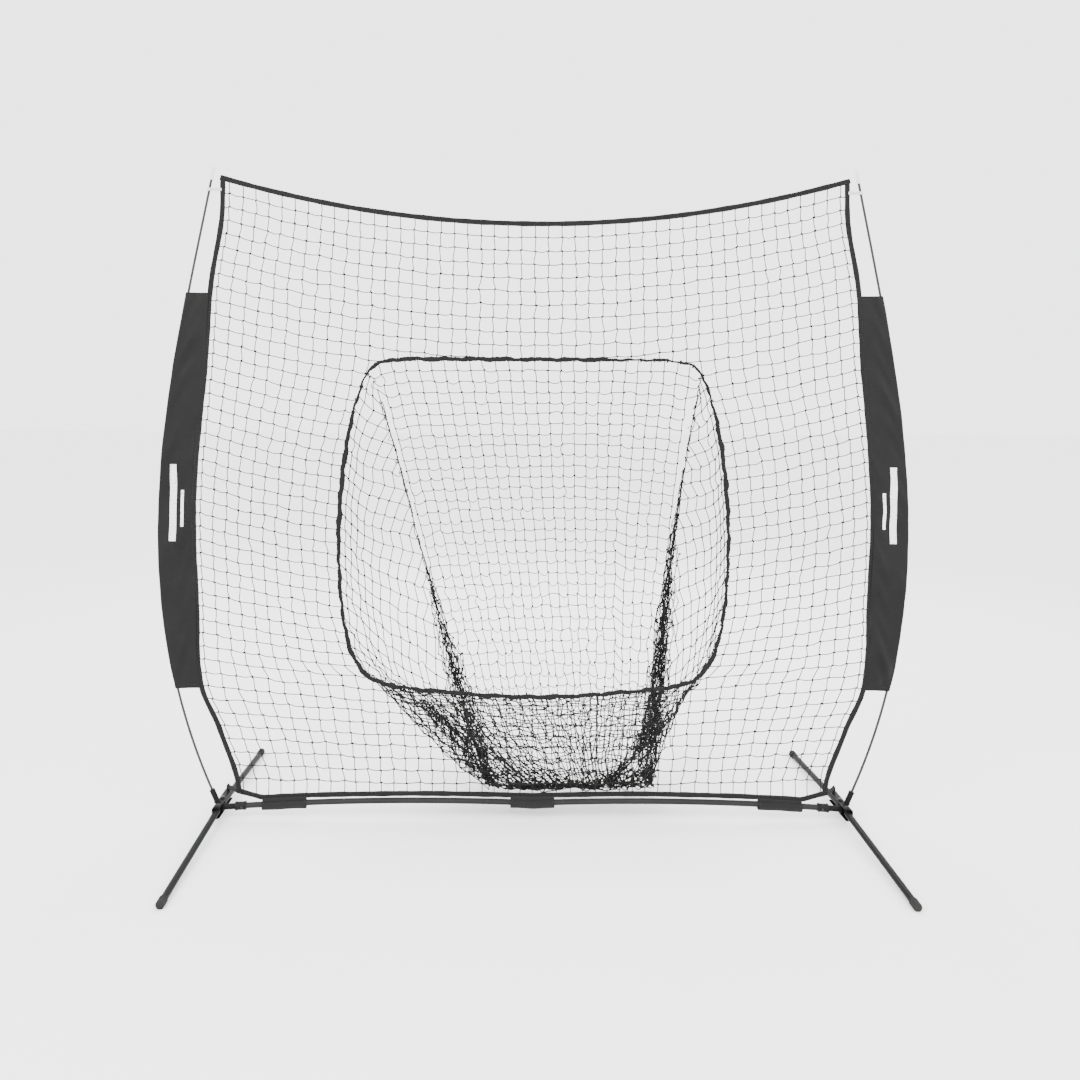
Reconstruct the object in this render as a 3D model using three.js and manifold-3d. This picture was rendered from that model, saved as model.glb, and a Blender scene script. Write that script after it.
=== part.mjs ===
// A portable pitching target net: two bowed fibreglass poles stretch a square net with a strike pocket
// over a low steel base with four folding legs. Millimetres, +X right, +Y behind the net, +Z up; the
// origin is on the ground, midway between the four feet.
import * as THREE from 'three';
import { mergeVertices } from 'three/addons/utils/BufferGeometryUtils.js';
import Module from 'manifold-3d';

// ---- Driving dimensions ----
const GAP = 0.4; // clearance between neighbouring pieces
const ROUND_SIDES = 12; // flats on a round tube or rod
const SLIM_SIDES = 8;

const HALF_SPAN = 1065; // middle of the net to the centre of a hub
const HUB_HEIGHT = 37; // centre of the hub above the ground
const TUBE_DIAMETER = 19; // base tube
const TUBE_WALL = 1.5;
const BASE_MIDDLE_HEIGHT = 55; // base tube's centre line where its halves meet
const BASE_ARCH_HEIGHT = 76; // control point that arches each half
const JOINER_LENGTH = 120;
const COLLAR_OFFSET = 72; // hub centre to collar centre, along the base
const COLLAR_LENGTH = 36;
const COLLAR_DIAMETER = 29;
const BUTTON_DIAMETER = 7;

const CHANNEL_WALL = 2.5;
const CHANNEL_FRONT = 45; // how far the hub's channel runs in front of and behind its centre
const CHANNEL_REAR = 105;
const PEG_DIAMETER = 6;
const PEG_HEIGHT = 22;
const LEG_DIAMETER = 21;
const LEG_WALL = 1.5;
const LEG_REACH = 530; // hub centre to the end of the tube, front to back
const PIVOT_OFFSET = 30; // hub centre to a leg's pivot bolt
const BOLT_DIAMETER = 8;
const HEX_ACROSS = 13;
const HEAD_HEIGHT = 5.5;
const NUT_HEIGHT = 6;
const CAP_DIAMETER = 26; // foot cap
const CAP_LENGTH = 34;
const FOOT_HEIGHT = 11; // tube centre above the ground at its foot end

const SOCKET_DIAMETER = 18;
const SOCKET_LENGTH = 66; // hub centre to the socket's mouth, along the socket
const SOCKET_TILT = 24; // degrees outward from upright
const END_DIAMETER = 12; // steel end on the foot of a pole
const POLE_DIAMETER = 8;
const POLE_TOP = 2215;
const TIP_OVERHANG = 32; // tip of the pole outside the hub's centre
const TIP_LEAN = 11; // degrees inward from upright
const FOOT_BOW = 800; // the two handles of the bow's curve, at the socket and at the tip
const TIP_BOW = 700;
const FERRULE_DIAMETER = 11;
const FERRULE_LENGTH = 80;
const TIP_CAP_DIAMETER = 13;
const TIP_CAP_LENGTH = 48;

const TOP_CORNER_DROP = 34; // top corners of the net's edge below the poles' tips
const NET_BOTTOM = 92; // bottom corners
const TOP_SAG = 150;
const HEM_RISE = 24; // bottom edge above the base tube's centre line
const CORNER_INSET = 65; // bottom corners inside the hub's centre
const NET_THICKNESS = 2;
const BINDING_WIDTH = 16;
const BINDING_THICKNESS = 3.2;
const SLEEVE_BOTTOM = 443;
const SLEEVE_TOP = 1790;
const SLEEVE_FABRIC = 1.6;
const TAB_LENGTH = 150; // wraps that hold the net's bottom edge to the base tube
const TAB_CENTRE = 845;
const TAB_FABRIC = 2.4;
const LOOP_WIDTH = 10; // elastic from each pole's tip to the net's top corner
const STRAP_FABRIC = 1.6;
const CORNER_LOOP_WIDTH = 14;

const OPENING_WIDTH = 1328;
const OPENING_TOP = 1568;
const OPENING_BOTTOM = 416;
const ROPE_DIAMETER = 12;
const BAG_WIDTH = 700; // floor of the pocket
const BAG_DEPTH = 200;
const BAG_BACK = 170; // its centre behind the net
const BAG_HEIGHT = 46;
const BAG_SHIFT = 150; // the pocket hangs to one side

// Gap between pole and net edge at shares of the net's height, bottom to top.
const EDGE_GAPS = [[0, 90], [0.1, 104], [0.17, 82], [0.31, 113], [0.45, 113], [0.68, 104], [0.83, 70],
  [0.93, 63], [1, 38]];
// Half of the opening's outline, top to bottom, in shares of its half width and of its height.
const OPENING_OUTLINE = [[0, 1], [0.45, 1], [0.74, 0.995], [0.835, 0.975], [0.9, 0.9], [0.963, 0.745],
  [0.998, 0.55], [1, 0.4], [0.975, 0.23], [0.92, 0.115], [0.82, 0.05], [0.4, 0.012], [0, 0]];

// ---- Finishes ----
const finish = (name, color, roughness, metalness) =>
  new THREE.MeshStandardMaterial({ name, color, roughness, metalness });
const FINISHES = {
  paintedSteel: () => finish('painted steel', 0x2c2d2e, 0.45, 0.4),
  greyTube: () => finish('satin grey tube', 0x58595b, 0.4, 0.5),
  zincSteel: () => finish('zinc-plated steel', 0x9a9c9e, 0.35, 0.9),
  rubber: () => finish('black rubber', 0x1c1c1c, 0.85, 0),
  paleNylon: () => finish('natural nylon', 0xdcdcd8, 0.5, 0),
  elastic: () => finish('pale elastic', 0xd2d2ce, 0.8, 0),
  fibreglass: () => finish('dark fibreglass', 0x3a3b3c, 0.5, 0),
  netting: () => finish('black netting', 0x2a2a2a, 0.9, 0),
  webbing: () => finish('black webbing', 0x202021, 0.85, 0),
  nylon: () => finish('black nylon', 0x262627, 0.7, 0),
  tabFabric: () => finish('charcoal tab fabric', 0x444445, 0.9, 0),
};

// ---- Solids ----
const wasm = await Module();
wasm.setup();

function toSolid(geometry) {
  const bare = geometry.clone();
  bare.deleteAttribute('normal');
  bare.deleteAttribute('uv');
  const merged = mergeVertices(bare, 1e-4);
  return new wasm.Manifold(new wasm.Mesh({
    numProp: 3,
    vertProperties: merged.attributes.position.array,
    triVerts: new Uint32Array(merged.index.array),
  }));
}

function toGeometry(solid) {
  const mesh = solid.getMesh();
  const geometry = new THREE.BufferGeometry();
  geometry.setAttribute('position', new THREE.BufferAttribute(mesh.vertProperties, 3));
  geometry.setIndex(new THREE.BufferAttribute(mesh.triVerts, 1));
  geometry.computeVertexNormals();
  return geometry;
}

const cut = (geometry, ...tools) =>
  toGeometry(tools.reduce((left, tool) => left.subtract(toSolid(tool)), toSolid(geometry)));
const join = (...geometries) =>
  toGeometry(geometries.map(toSolid).reduce((all, next) => all.add(next)));

const vec = (x, y, z) => new THREE.Vector3(x, y, z);
const radians = THREE.MathUtils.degToRad;
const { lerp } = THREE.MathUtils;
const range = (count) => Array.from({ length: count + 1 }, (_, i) => i / count); // 0 to 1

function polygonPoints(radius, sides) {
  return range(sides).slice(0, sides).map((turn) =>
    new THREE.Vector2(Math.cos(turn * 2 * Math.PI), Math.sin(turn * 2 * Math.PI)).multiplyScalar(radius));
}
const disc = (radius, sides) => new THREE.Shape(polygonPoints(radius, sides));
function ring(outer, inner, sides) {
  const shape = disc(outer, sides);
  shape.holes.push(new THREE.Path(polygonPoints(inner, sides)));
  return shape;
}
function rectangle(x0, y0, x1, y1) {
  return new THREE.Shape([[x0, y0], [x1, y0], [x1, y1], [x0, y1]].map(([x, y]) =>
    new THREE.Vector2(x, y)));
}

// A section swept along a curve; in a curve that lies in XZ, the section's x is the world's Y.
const sweep = (section, path, steps) =>
  new THREE.ExtrudeGeometry(section, { extrudePath: path, steps, curveSegments: 1 });
const straight = (section, from, to) => sweep(section, new THREE.LineCurve3(from, to), 1);
const smooth = (points) => new THREE.CatmullRomCurve3(points, false, 'centripetal');

function box(x0, x1, y0, y1, z0, z1) {
  return new THREE.BoxGeometry(x1 - x0, y1 - y0, z1 - z0)
    .translate((x0 + x1) / 2, (y0 + y1) / 2, (z0 + z1) / 2);
}

// A turned piece on an axis from a point in a direction; the profile is [radius, distance along].
function turned(profile, sides, at, direction) {
  const points = profile.map(([radius, along]) => new THREE.Vector2(radius, along));
  const geometry = new THREE.LatheGeometry(points, sides);
  const turn = new THREE.Quaternion().setFromUnitVectors(vec(0, 1, 0), direction);
  return geometry.applyQuaternion(turn).translate(at.x, at.y, at.z);
}

// A skin through rings of equally many points, each end closed by a fan about a point inside it.
function loft(rings, endCentres) {
  const count = rings[0].length;
  const corners = rings.flat();
  const faces = [];
  rings.slice(1).forEach((_, level) => {
    for (let i = 0; i < count; i += 1) {
      const [a, b] = [level * count + i, level * count + (i + 1) % count];
      faces.push(a, b, a + count, b, b + count, a + count);
    }
  });
  const closeEnd = (centre, first, flip) => {
    corners.push(centre);
    for (let i = 0; i < count; i += 1) {
      const pair = [first + i, first + (i + 1) % count];
      faces.push(corners.length - 1, ...(flip ? pair.reverse() : pair));
    }
  };
  closeEnd(endCentres[0], 0, true);
  closeEnd(endCentres[1], (rings.length - 1) * count, false);
  const geometry = new THREE.BufferGeometry().setFromPoints(corners);
  geometry.setIndex(faces);
  return outward(geometry);
}

// The same skin with its faces turned to point out.
function outward(geometry) {
  const { index } = geometry;
  const { array } = geometry.attributes.position;
  const corner = (i) => vec().fromArray(array, 3 * index.array[i]);
  let volume = 0;
  for (let i = 0; i < index.count; i += 3) {
    volume += corner(i).dot(corner(i + 1).cross(corner(i + 2)));
  }
  if (volume < 0) index.array.reverse();
  return geometry;
}

// Fabric that wraps a rod and ends at an edge beside it: for each station, an arc round the rod's centre
// and a flat tail to the edge, with a tunnel left open for the rod.
function wrap(stations, tunnelRadius, fabric, across = vec(0, 1, 0)) {
  const outer = tunnelRadius + fabric;
  const ARC_STEPS = 10;
  const TAIL_START = Math.asin(fabric / outer);
  const keyhole = ({ centre, edge }) => {
    const along = edge.clone().sub(centre).normalize();
    const at = (base, forward, side) =>
      base.clone().addScaledVector(along, forward).addScaledVector(across, side);
    const arc = range(ARC_STEPS).map((share) => {
      const angle = lerp(TAIL_START, 2 * Math.PI - TAIL_START, share);
      return at(centre, outer * Math.cos(angle), outer * Math.sin(angle));
    });
    return [...arc, at(edge, 0, -fabric), at(edge, 0, fabric)];
  };
  const [first, last] = [stations[0].centre, stations.at(-1).centre];
  const overrun = (end, next) => end.clone().sub(next).setLength(5).add(end);
  const middle = stations.map(({ centre }) => centre);
  const tunnel = smooth([overrun(first, middle[1]), ...middle, overrun(last, middle.at(-2))]);
  const solid = loft(stations.map(keyhole), [first, last]);
  const clearOfFlats = tunnelRadius / Math.cos(Math.PI / ROUND_SIDES);
  return cut(solid, sweep(disc(clearOfFlats, ROUND_SIDES), tunnel, stations.length + 1));
}

// ---- Lines that the pieces follow ----
function baseHeight(x) {
  const share = Math.abs(x) / HALF_SPAN;
  return (1 - share) ** 2 * BASE_MIDDLE_HEIGHT + 2 * share * (1 - share) * BASE_ARCH_HEIGHT
    + share ** 2 * HUB_HEIGHT;
}
const basePoint = (x) => vec(x, 0, baseHeight(x));
const baseLine = (from, to, steps) => smooth(range(steps).map((share) => basePoint(lerp(from, to, share))));

const socketAxis = vec(Math.sin(radians(SOCKET_TILT)), 0, Math.cos(radians(SOCKET_TILT)));
const onSocket = (distance) =>
  vec(HALF_SPAN, 0, HUB_HEIGHT).addScaledVector(socketAxis, distance);
const tip = vec(HALF_SPAN + TIP_OVERHANG, 0, POLE_TOP);
const tipAxis = vec(-Math.sin(radians(TIP_LEAN)), 0, Math.cos(radians(TIP_LEAN)));
const bow = new THREE.CubicBezierCurve3(
  onSocket(SOCKET_LENGTH),
  onSocket(SOCKET_LENGTH + FOOT_BOW),
  tip.clone().addScaledVector(tipAxis, -TIP_BOW),
  tip,
);

function bowAtHeight(height) {
  let [low, high] = [0, 1];
  for (let i = 0; i < 40; i += 1) {
    const middle = (low + high) / 2;
    if (bow.getPoint(middle).z < height) low = middle;
    else high = middle;
  }
  return low;
}

// Smooth value through [position, value] pairs.
function through(pairs, position) {
  const last = pairs.length - 1;
  const k = Math.min(last - 1, Math.max(0, pairs.findLastIndex(([at]) => at <= position)));
  const slope = (i) => {
    const [a, b] = [pairs[Math.max(0, i - 1)], pairs[Math.min(last, i + 1)]];
    return (b[1] - a[1]) / (b[0] - a[0]);
  };
  const [[x0, y0], [x1, y1]] = [pairs[k], pairs[k + 1]];
  const [t, width] = [(position - x0) / (x1 - x0), x1 - x0];
  return y0 * (1 + 2 * t) * (1 - t) ** 2 + slope(k) * width * t * (1 - t) ** 2
    + y1 * t ** 2 * (3 - 2 * t) + slope(k + 1) * width * t ** 2 * (t - 1);
}

const netTop = POLE_TOP - TOP_CORNER_DROP;
const bottomCorner = HALF_SPAN - CORNER_INSET;
const poleX = (height) => bow.getPoint(bowAtHeight(height)).x;
function edgeX(height) {
  const share = (height - NET_BOTTOM) / (netTop - NET_BOTTOM);
  const lowBow = poleX(Math.max(height, onSocket(SOCKET_LENGTH).z));
  const pull = Math.max(0, 1 - share / 0.1) ** 2; // the corner itself stands where the hub needs it
  return lerp(lowBow - through(EDGE_GAPS, share), bottomCorner, pull);
}
const topCorner = edgeX(netTop);
const topHeight = (x) => netTop - TOP_SAG * (1 - (x / topCorner) ** 2);
function hemHeight(x) {
  const held = TAB_CENTRE + TAB_LENGTH / 2; // outside the last tab the hem runs up to the corner
  const share = Math.max(0, (Math.abs(x) - held) / (bottomCorner - held));
  return lerp(baseHeight(Math.min(Math.abs(x), held)) + HEM_RISE, NET_BOTTOM, share);
}

const openingPoint = ([x, z], side) =>
  vec(side * x * OPENING_WIDTH / 2, 0, lerp(OPENING_BOTTOM, OPENING_TOP, z));
const openingLoop = new THREE.CatmullRomCurve3([
  ...OPENING_OUTLINE.map((pair) => openingPoint(pair, 1)),
  ...OPENING_OUTLINE.slice(1, -1).reverse().map((pair) => openingPoint(pair, -1)),
], true, 'centripetal');

// ---- The object ----
const net = new THREE.Group();
function add(name, geometry, material) {
  const mesh = new THREE.Mesh(geometry, FINISHES[material]());
  mesh.name = name;
  net.add(mesh);
}
const mirrored = (geometry, side) => (side > 0 ? geometry : outward(
  (geometry.index ? geometry : mergeVertices(geometry)).clone().scale(-1, 1, 1),
));
const SIDES = [['left', -1], ['right', 1]];
const tubeRadius = TUBE_DIAMETER / 2;
const bindingReach = BINDING_WIDTH / 2;

// Hubs: a channel open towards the middle, a stub for the base tube and a peg for the net's corner.
const legSlope = (HUB_HEIGHT - FOOT_HEIGHT) / (LEG_REACH - PIVOT_OFFSET);
const legDrop = legSlope * (CHANNEL_REAR - PIVOT_OFFSET); // of the rear leg inside the channel
const channelHalf = LEG_DIAMETER / 2 + legDrop + 2 * GAP; // half of the gap between its plates
const plateTop = HUB_HEIGHT + channelHalf + CHANNEL_WALL;
const webInside = LEG_DIAMETER / 2 + GAP;
const webOutside = webInside + CHANNEL_WALL;
const lipReach = LEG_DIAMETER / 2 + 2;
const stubEnd = HALF_SPAN - COLLAR_OFFSET + COLLAR_LENGTH / 4;
const pegPlace = vec(HALF_SPAN, CHANNEL_REAR - 2 * PEG_DIAMETER, plateTop);
function hubBracket() {
  const cover = channelHalf + CHANNEL_WALL;
  const outline = [[-lipReach, -cover], [webOutside, -cover], [webOutside, cover], [-lipReach, cover],
    [-lipReach, channelHalf], [webInside, channelHalf], [webInside, -channelHalf],
    [-lipReach, -channelHalf]];
  // Extruded along the world's Z, then laid down so that it runs front to back.
  const channel = new THREE.ExtrudeGeometry(
    new THREE.Shape(outline.map(([x, z]) => new THREE.Vector2(x, z))),
    { depth: CHANNEL_FRONT + CHANNEL_REAR, bevelEnabled: false },
  ).rotateX(Math.PI / 2).translate(HALF_SPAN, CHANNEL_REAR, HUB_HEIGHT);
  const weld = HALF_SPAN + webInside + CHANNEL_WALL / 2;
  const stub = sweep(ring(tubeRadius, tubeRadius - TUBE_WALL, ROUND_SIDES), baseLine(stubEnd, weld, 2), 2);
  const peg = straight(disc(PEG_DIAMETER / 2, SLIM_SIDES), pegPlace.clone().setZ(plateTop - CHANNEL_WALL / 2),
    pegPlace.clone().setZ(plateTop + PEG_HEIGHT));
  const holes = [-1, 1].map((end) => boltCylinder(end, BOLT_DIAMETER / 2 + GAP));
  return cut(join(channel, stub, peg), ...holes);
}
function boltCylinder(end, radius) {
  const at = (z) => vec(HALF_SPAN, end * PIVOT_OFFSET, z);
  return straight(disc(radius, ROUND_SIDES), at(HUB_HEIGHT - 60), at(HUB_HEIGHT + 60));
}

// Legs: tubes that turn on upright bolts, with a half-round inner end.
function leg(end) {
  const pivot = vec(HALF_SPAN, end * PIVOT_OFFSET, HUB_HEIGHT);
  const foot = vec(HALF_SPAN, end * LEG_REACH, FOOT_HEIGHT);
  const along = foot.clone().sub(pivot).normalize();
  const radius = LEG_DIAMETER / 2;
  const tube = straight(ring(radius, radius - LEG_WALL, ROUND_SIDES), pivot.clone().addScaledVector(along, -radius),
    foot);
  const behind = [0, -end * 3 * radius].sort((a, b) => a - b).map((y) => pivot.y + y);
  const corners = cut(
    box(pivot.x - 2 * radius, pivot.x + 2 * radius, ...behind, pivot.z - 2 * radius, pivot.z + 2 * radius),
    boltCylinder(end, radius),
  );
  return cut(tube, corners, boltCylinder(end, BOLT_DIAMETER / 2 + GAP));
}
function footCap(end) {
  const pivot = vec(HALF_SPAN, end * PIVOT_OFFSET, HUB_HEIGHT);
  const foot = vec(HALF_SPAN, end * LEG_REACH, FOOT_HEIGHT);
  const along = foot.clone().sub(pivot).normalize();
  const [outer, inner] = [CAP_DIAMETER / 2, LEG_DIAMETER / 2 + GAP];
  const nose = 8;
  const profile = [[0, GAP], [inner, GAP], [inner, nose - CAP_LENGTH], [outer - 1, nose - CAP_LENGTH],
    [outer, nose - CAP_LENGTH + 2], [outer, 0], [outer - 2.5, nose * 0.7], [outer - 7, nose], [0, nose]];
  const below = box(HALF_SPAN - 30, HALF_SPAN + 30, foot.y - 60, foot.y + 60, -30, 0);
  return cut(turned(profile, ROUND_SIDES, foot, along), below);
}
function pivotBolt(end) {
  const at = (z) => vec(HALF_SPAN, end * PIVOT_OFFSET, z);
  const under = 2 * HUB_HEIGHT - plateTop - 2 * GAP - NUT_HEIGHT - 2;
  const shank = straight(disc(BOLT_DIAMETER / 2, ROUND_SIDES), at(under), at(plateTop + GAP + 1));
  const head = straight(disc(HEX_ACROSS / Math.sqrt(3), 6), at(plateTop + GAP), at(plateTop + GAP
    + HEAD_HEIGHT));
  return join(shank, head);
}
function lockNut(end) {
  const at = (z) => vec(HALF_SPAN, end * PIVOT_OFFSET, z);
  const top = 2 * HUB_HEIGHT - plateTop - GAP;
  const hex = straight(disc(HEX_ACROSS / Math.sqrt(3), 6), at(top - NUT_HEIGHT), at(top));
  return cut(hex, boltCylinder(end, BOLT_DIAMETER / 2 + GAP));
}

// Pole socket: a tube that leans outward from the hub's top plate.
function poleSocket() {
  const tube = straight(ring(SOCKET_DIAMETER / 2, END_DIAMETER / 2 + GAP, ROUND_SIDES), onSocket(0),
    onSocket(SOCKET_LENGTH));
  const plate = box(HALF_SPAN - 60, HALF_SPAN + 60, -30, 30, -30, plateTop + GAP);
  return cut(tube, plate);
}

// The bow: straight inside its socket, then one long curve to the tip.
const poleStart = (plateTop + GAP - HUB_HEIGHT) / Math.cos(radians(SOCKET_TILT)) + END_DIAMETER / 2;
const JOINTS = [0, 0.31, 0.645, 1]; // shares of the bow's curve where its three rods end
function bowLine(from, to, steps) {
  const lead = from === 0 ? [onSocket(poleStart), onSocket(lerp(poleStart, SOCKET_LENGTH, 0.5))] : [];
  return smooth([...lead, ...range(steps).map((share) => bow.getPoint(lerp(from, to, share)))]);
}
const bowLength = bow.getLength();
function polePiece(index) {
  const spare = GAP / 2 / bowLength;
  const [from, to] = [JOINTS[index] + (index ? spare : 0), JOINTS[index + 1] - (index < 2 ? spare : 0)];
  return sweep(disc(POLE_DIAMETER / 2, SLIM_SIDES), bowLine(from, to, 12), 12);
}
function ferrule(share) {
  const reach = FERRULE_LENGTH / 2 / bowLength;
  return sweep(ring(FERRULE_DIAMETER / 2, POLE_DIAMETER / 2 + GAP, SLIM_SIDES),
    bowLine(share - reach, share + reach, 2), 2);
}
function poleEnd() {
  return straight(ring(END_DIAMETER / 2, POLE_DIAMETER / 2 + GAP, ROUND_SIDES), onSocket(poleStart),
    onSocket(SOCKET_LENGTH - 2));
}
function tipCap() {
  const [outer, inner] = [TIP_CAP_DIAMETER / 2, POLE_DIAMETER / 2 + GAP];
  const nose = 5;
  const profile = [[0, GAP], [inner, GAP], [inner, nose - TIP_CAP_LENGTH], [outer, nose - TIP_CAP_LENGTH],
    [outer, nose * 0.3], [outer * 0.6, nose], [0, nose]];
  return turned(profile, SLIM_SIDES, tip, tipAxis);
}

// Base tube halves, the sleeve inside their joint, and the collars with their snap buttons.
const buttonPlace = basePoint(HALF_SPAN - COLLAR_OFFSET - COLLAR_LENGTH / 6);
const collarRadius = COLLAR_DIAMETER / 2;
const buttonHole = () => straight(disc(BUTTON_DIAMETER / 2 + GAP, ROUND_SIDES),
  buttonPlace.clone().setY(-2 * collarRadius), buttonPlace.clone().setY(0));
function baseTube() {
  const tube = sweep(ring(tubeRadius, tubeRadius - TUBE_WALL, ROUND_SIDES),
    baseLine(2 * GAP, stubEnd - GAP, 10), 10);
  return cut(tube, buttonHole());
}
function collar() {
  const middle = HALF_SPAN - COLLAR_OFFSET;
  const line = baseLine(middle - COLLAR_LENGTH / 2, middle + COLLAR_LENGTH / 2, 2);
  return cut(sweep(ring(collarRadius, tubeRadius + GAP, ROUND_SIDES), line, 2), buttonHole());
}
function snapButton() {
  const inside = tubeRadius - TUBE_WALL - GAP; // the flange rests behind the tube's wall
  const proud = collarRadius + 3;
  const flange = BUTTON_DIAMETER / 2 + 1.5;
  const seat = Math.sqrt(inside ** 2 - flange ** 2);
  const profile = [[0, seat - 1.5], [flange, seat - 1.5], [flange, seat], [BUTTON_DIAMETER / 2, seat],
    [BUTTON_DIAMETER / 2, proud - 1.5], [BUTTON_DIAMETER / 4, proud], [0, proud]];
  return turned(profile, ROUND_SIDES, buttonPlace, vec(0, -1, 0));
}

for (const [sideName, side] of SIDES) {
  const addSide = (name, geometry, material) => add(`${name}_${sideName}`, mirrored(geometry, side), material);
  addSide('hub_bracket', hubBracket(), 'paintedSteel');
  addSide('pole_socket', poleSocket(), 'paintedSteel');
  for (const [endName, end] of [['front', -1], ['rear', 1]]) {
    addSide(`leg_${endName}`, leg(end), 'paintedSteel');
    addSide(`foot_cap_${endName}`, footCap(end), 'rubber');
    addSide(`pivot_bolt_${endName}`, pivotBolt(end), 'zincSteel');
    addSide(`lock_nut_${endName}`, lockNut(end), 'zincSteel');
  }
  addSide('base_tube', baseTube(), 'greyTube');
  addSide('collar', collar(), 'greyTube');
  addSide('snap_button', snapButton(), 'zincSteel');
  ['lower', 'middle', 'upper'].forEach((part, index) =>
    addSide(`pole_${part}`, polePiece(index), 'fibreglass'));
  addSide('pole_end', poleEnd(), 'zincSteel');
  addSide('ferrule_lower', ferrule(JOINTS[1]), 'zincSteel');
  addSide('ferrule_upper', ferrule(JOINTS[2]), 'zincSteel');
  addSide('tip_cap', tipCap(), 'paleNylon');
}
const joinerRadius = tubeRadius - TUBE_WALL - GAP;
add('base_joiner', sweep(ring(joinerRadius, joinerRadius - TUBE_WALL, ROUND_SIDES),
  baseLine(-JOINER_LENGTH / 2, JOINER_LENGTH / 2, 2), 2), 'zincSteel');

// Net: a thin sheet inside its bindings, with the rimmed opening.
const bindingClear = 1.2 * bindingReach + 3 * GAP; // level or plumb from its middle, so clear where it slants
const sheetInset = bindingClear + GAP;
const EDGE_STEPS = 22;
const sheetTop = topHeight(topCorner - sheetInset) - sheetInset;
const sideHeights = range(EDGE_STEPS).map((share) => lerp(NET_BOTTOM + sheetInset, sheetTop, share));
function netPanel() {
  const rightSide = sideHeights.map((z) => [edgeX(z) - sheetInset, z]);
  const across = (reach, height) => range(EDGE_STEPS).slice(1, -1).map((share) => {
    const x = lerp(reach, -reach, share);
    return [x, height(x)];
  });
  const topReach = rightSide.at(-1)[0];
  const lowReach = rightSide[0][0];
  const outline = [
    ...rightSide,
    ...across(topReach, (x) => topHeight(x) - sheetInset),
    ...rightSide.map(([x, z]) => [-x, z]).reverse(),
    ...across(-lowReach, (x) => hemHeight(x) + sheetInset),
  ];
  const shape = new THREE.Shape(outline.map(([x, z]) => new THREE.Vector2(x, z)));
  shape.holes.push(new THREE.Path(openingOutline(ROPE_DIAMETER / 2 + 2 * GAP)));
  return new THREE.ExtrudeGeometry(shape, { depth: NET_THICKNESS, bevelEnabled: false })
    .rotateX(Math.PI / 2).translate(0, NET_THICKNESS / 2, 0);
}
const ROPE_STEPS = 60;
function openingOutline(outset) {
  return range(ROPE_STEPS).slice(0, -1).map((share) => {
    const point = openingLoop.getPointAt(share);
    const tangent = openingLoop.getTangentAt(share);
    return new THREE.Vector2(point.x - outset * tangent.z, point.z + outset * tangent.x);
  });
}
add('net_panel', netPanel(), 'netting');

// Rope round the opening; its two ends meet at the top.
const ropeLine = smooth(range(ROPE_STEPS).map((share) => {
  const spare = 1 / openingLoop.getLength();
  return openingLoop.getPointAt(lerp(spare, 1 - spare, share));
}));
add('opening_rope', sweep(disc(ROPE_DIAMETER / 2, 6), ropeLine, ROPE_STEPS), 'webbing');

// Pocket: a bag of netting from the back of the rope, down and back to a narrow floor.
function pocketNet() {
  const [AROUND, DOWN] = [40, 9];
  const half = NET_THICKNESS / 2;
  const middle = (OPENING_TOP + OPENING_BOTTOM) / 2;
  const point = (share, depth) => {
    const rim = openingLoop.getPointAt(share % 1);
    rim.y = ROPE_DIAMETER / 2 + half + 2 * GAP;
    const across = rim.x / (OPENING_WIDTH / 2);
    const up = (rim.z - middle) / (OPENING_TOP - middle);
    const floor = vec(BAG_SHIFT + across * BAG_WIDTH / 2, BAG_BACK + up * BAG_DEPTH / 2, BAG_HEIGHT);
    const high = (up + 1) / 2; // 0 along the bottom of the opening, 1 along its top
    const out = rim.clone().add(vec(0, lerp(10, 300, high), -lerp(130, 170, high)));
    const low = floor.clone().add(vec(0, lerp(-20, 350, high), lerp(100, 305, high)));
    return new THREE.CubicBezierCurve3(rim, out, low, floor).getPoint(depth);
  };
  const STEP = 1e-3;
  const layer = (offset) => range(DOWN).map((depth) => range(AROUND).slice(0, -1).map((share) => {
    const here = point(share, depth);
    const around = point(share + STEP, depth).sub(point(share + 1 - STEP, depth));
    const down = point(share, Math.min(1, depth + STEP)).sub(point(share, Math.max(0, depth - STEP)));
    here.addScaledVector(around.cross(down).normalize(), offset);
    return depth < 1 ? here : here.setZ(BAG_HEIGHT - offset); // the floor is level
  }));
  const [outer, inner] = [layer(half), layer(-half)];
  // One closed skin: down the outside, across the floor, and back up the inside.
  const count = AROUND;
  const corners = [...outer, ...inner].flat();
  const floorAt = (z) => vec(BAG_SHIFT, BAG_BACK, z);
  const faces = [];
  const quad = (a, b, c, d) => faces.push(a, b, c, b, d, c);
  const backQuad = (a, b, c, d) => faces.push(b, a, c, d, b, c); // split on the same diagonal
  const id = (isInner, level, i) => ((isInner ? outer.length : 0) + level) * count + (i % count);
  const centres = [outer, inner].map((skin) => corners.push(floorAt(skin[DOWN][0].z)) - 1);
  for (let i = 0; i < count; i += 1) {
    for (let level = 0; level < DOWN; level += 1) {
      quad(id(false, level, i), id(false, level, i + 1), id(false, level + 1, i), id(false, level + 1, i + 1));
      backQuad(id(true, level, i), id(true, level, i + 1), id(true, level + 1, i), id(true, level + 1, i + 1));
    }
    quad(id(false, 0, i + 1), id(false, 0, i), id(true, 0, i + 1), id(true, 0, i));
    faces.push(id(false, DOWN, i), id(false, DOWN, i + 1), centres[0]);
    faces.push(id(true, DOWN, i + 1), id(true, DOWN, i), centres[1]);
  }
  const geometry = new THREE.BufferGeometry().setFromPoints(corners);
  geometry.setIndex(faces);
  return outward(geometry);
}
add('pocket_net', pocketNet(), 'netting');

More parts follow.
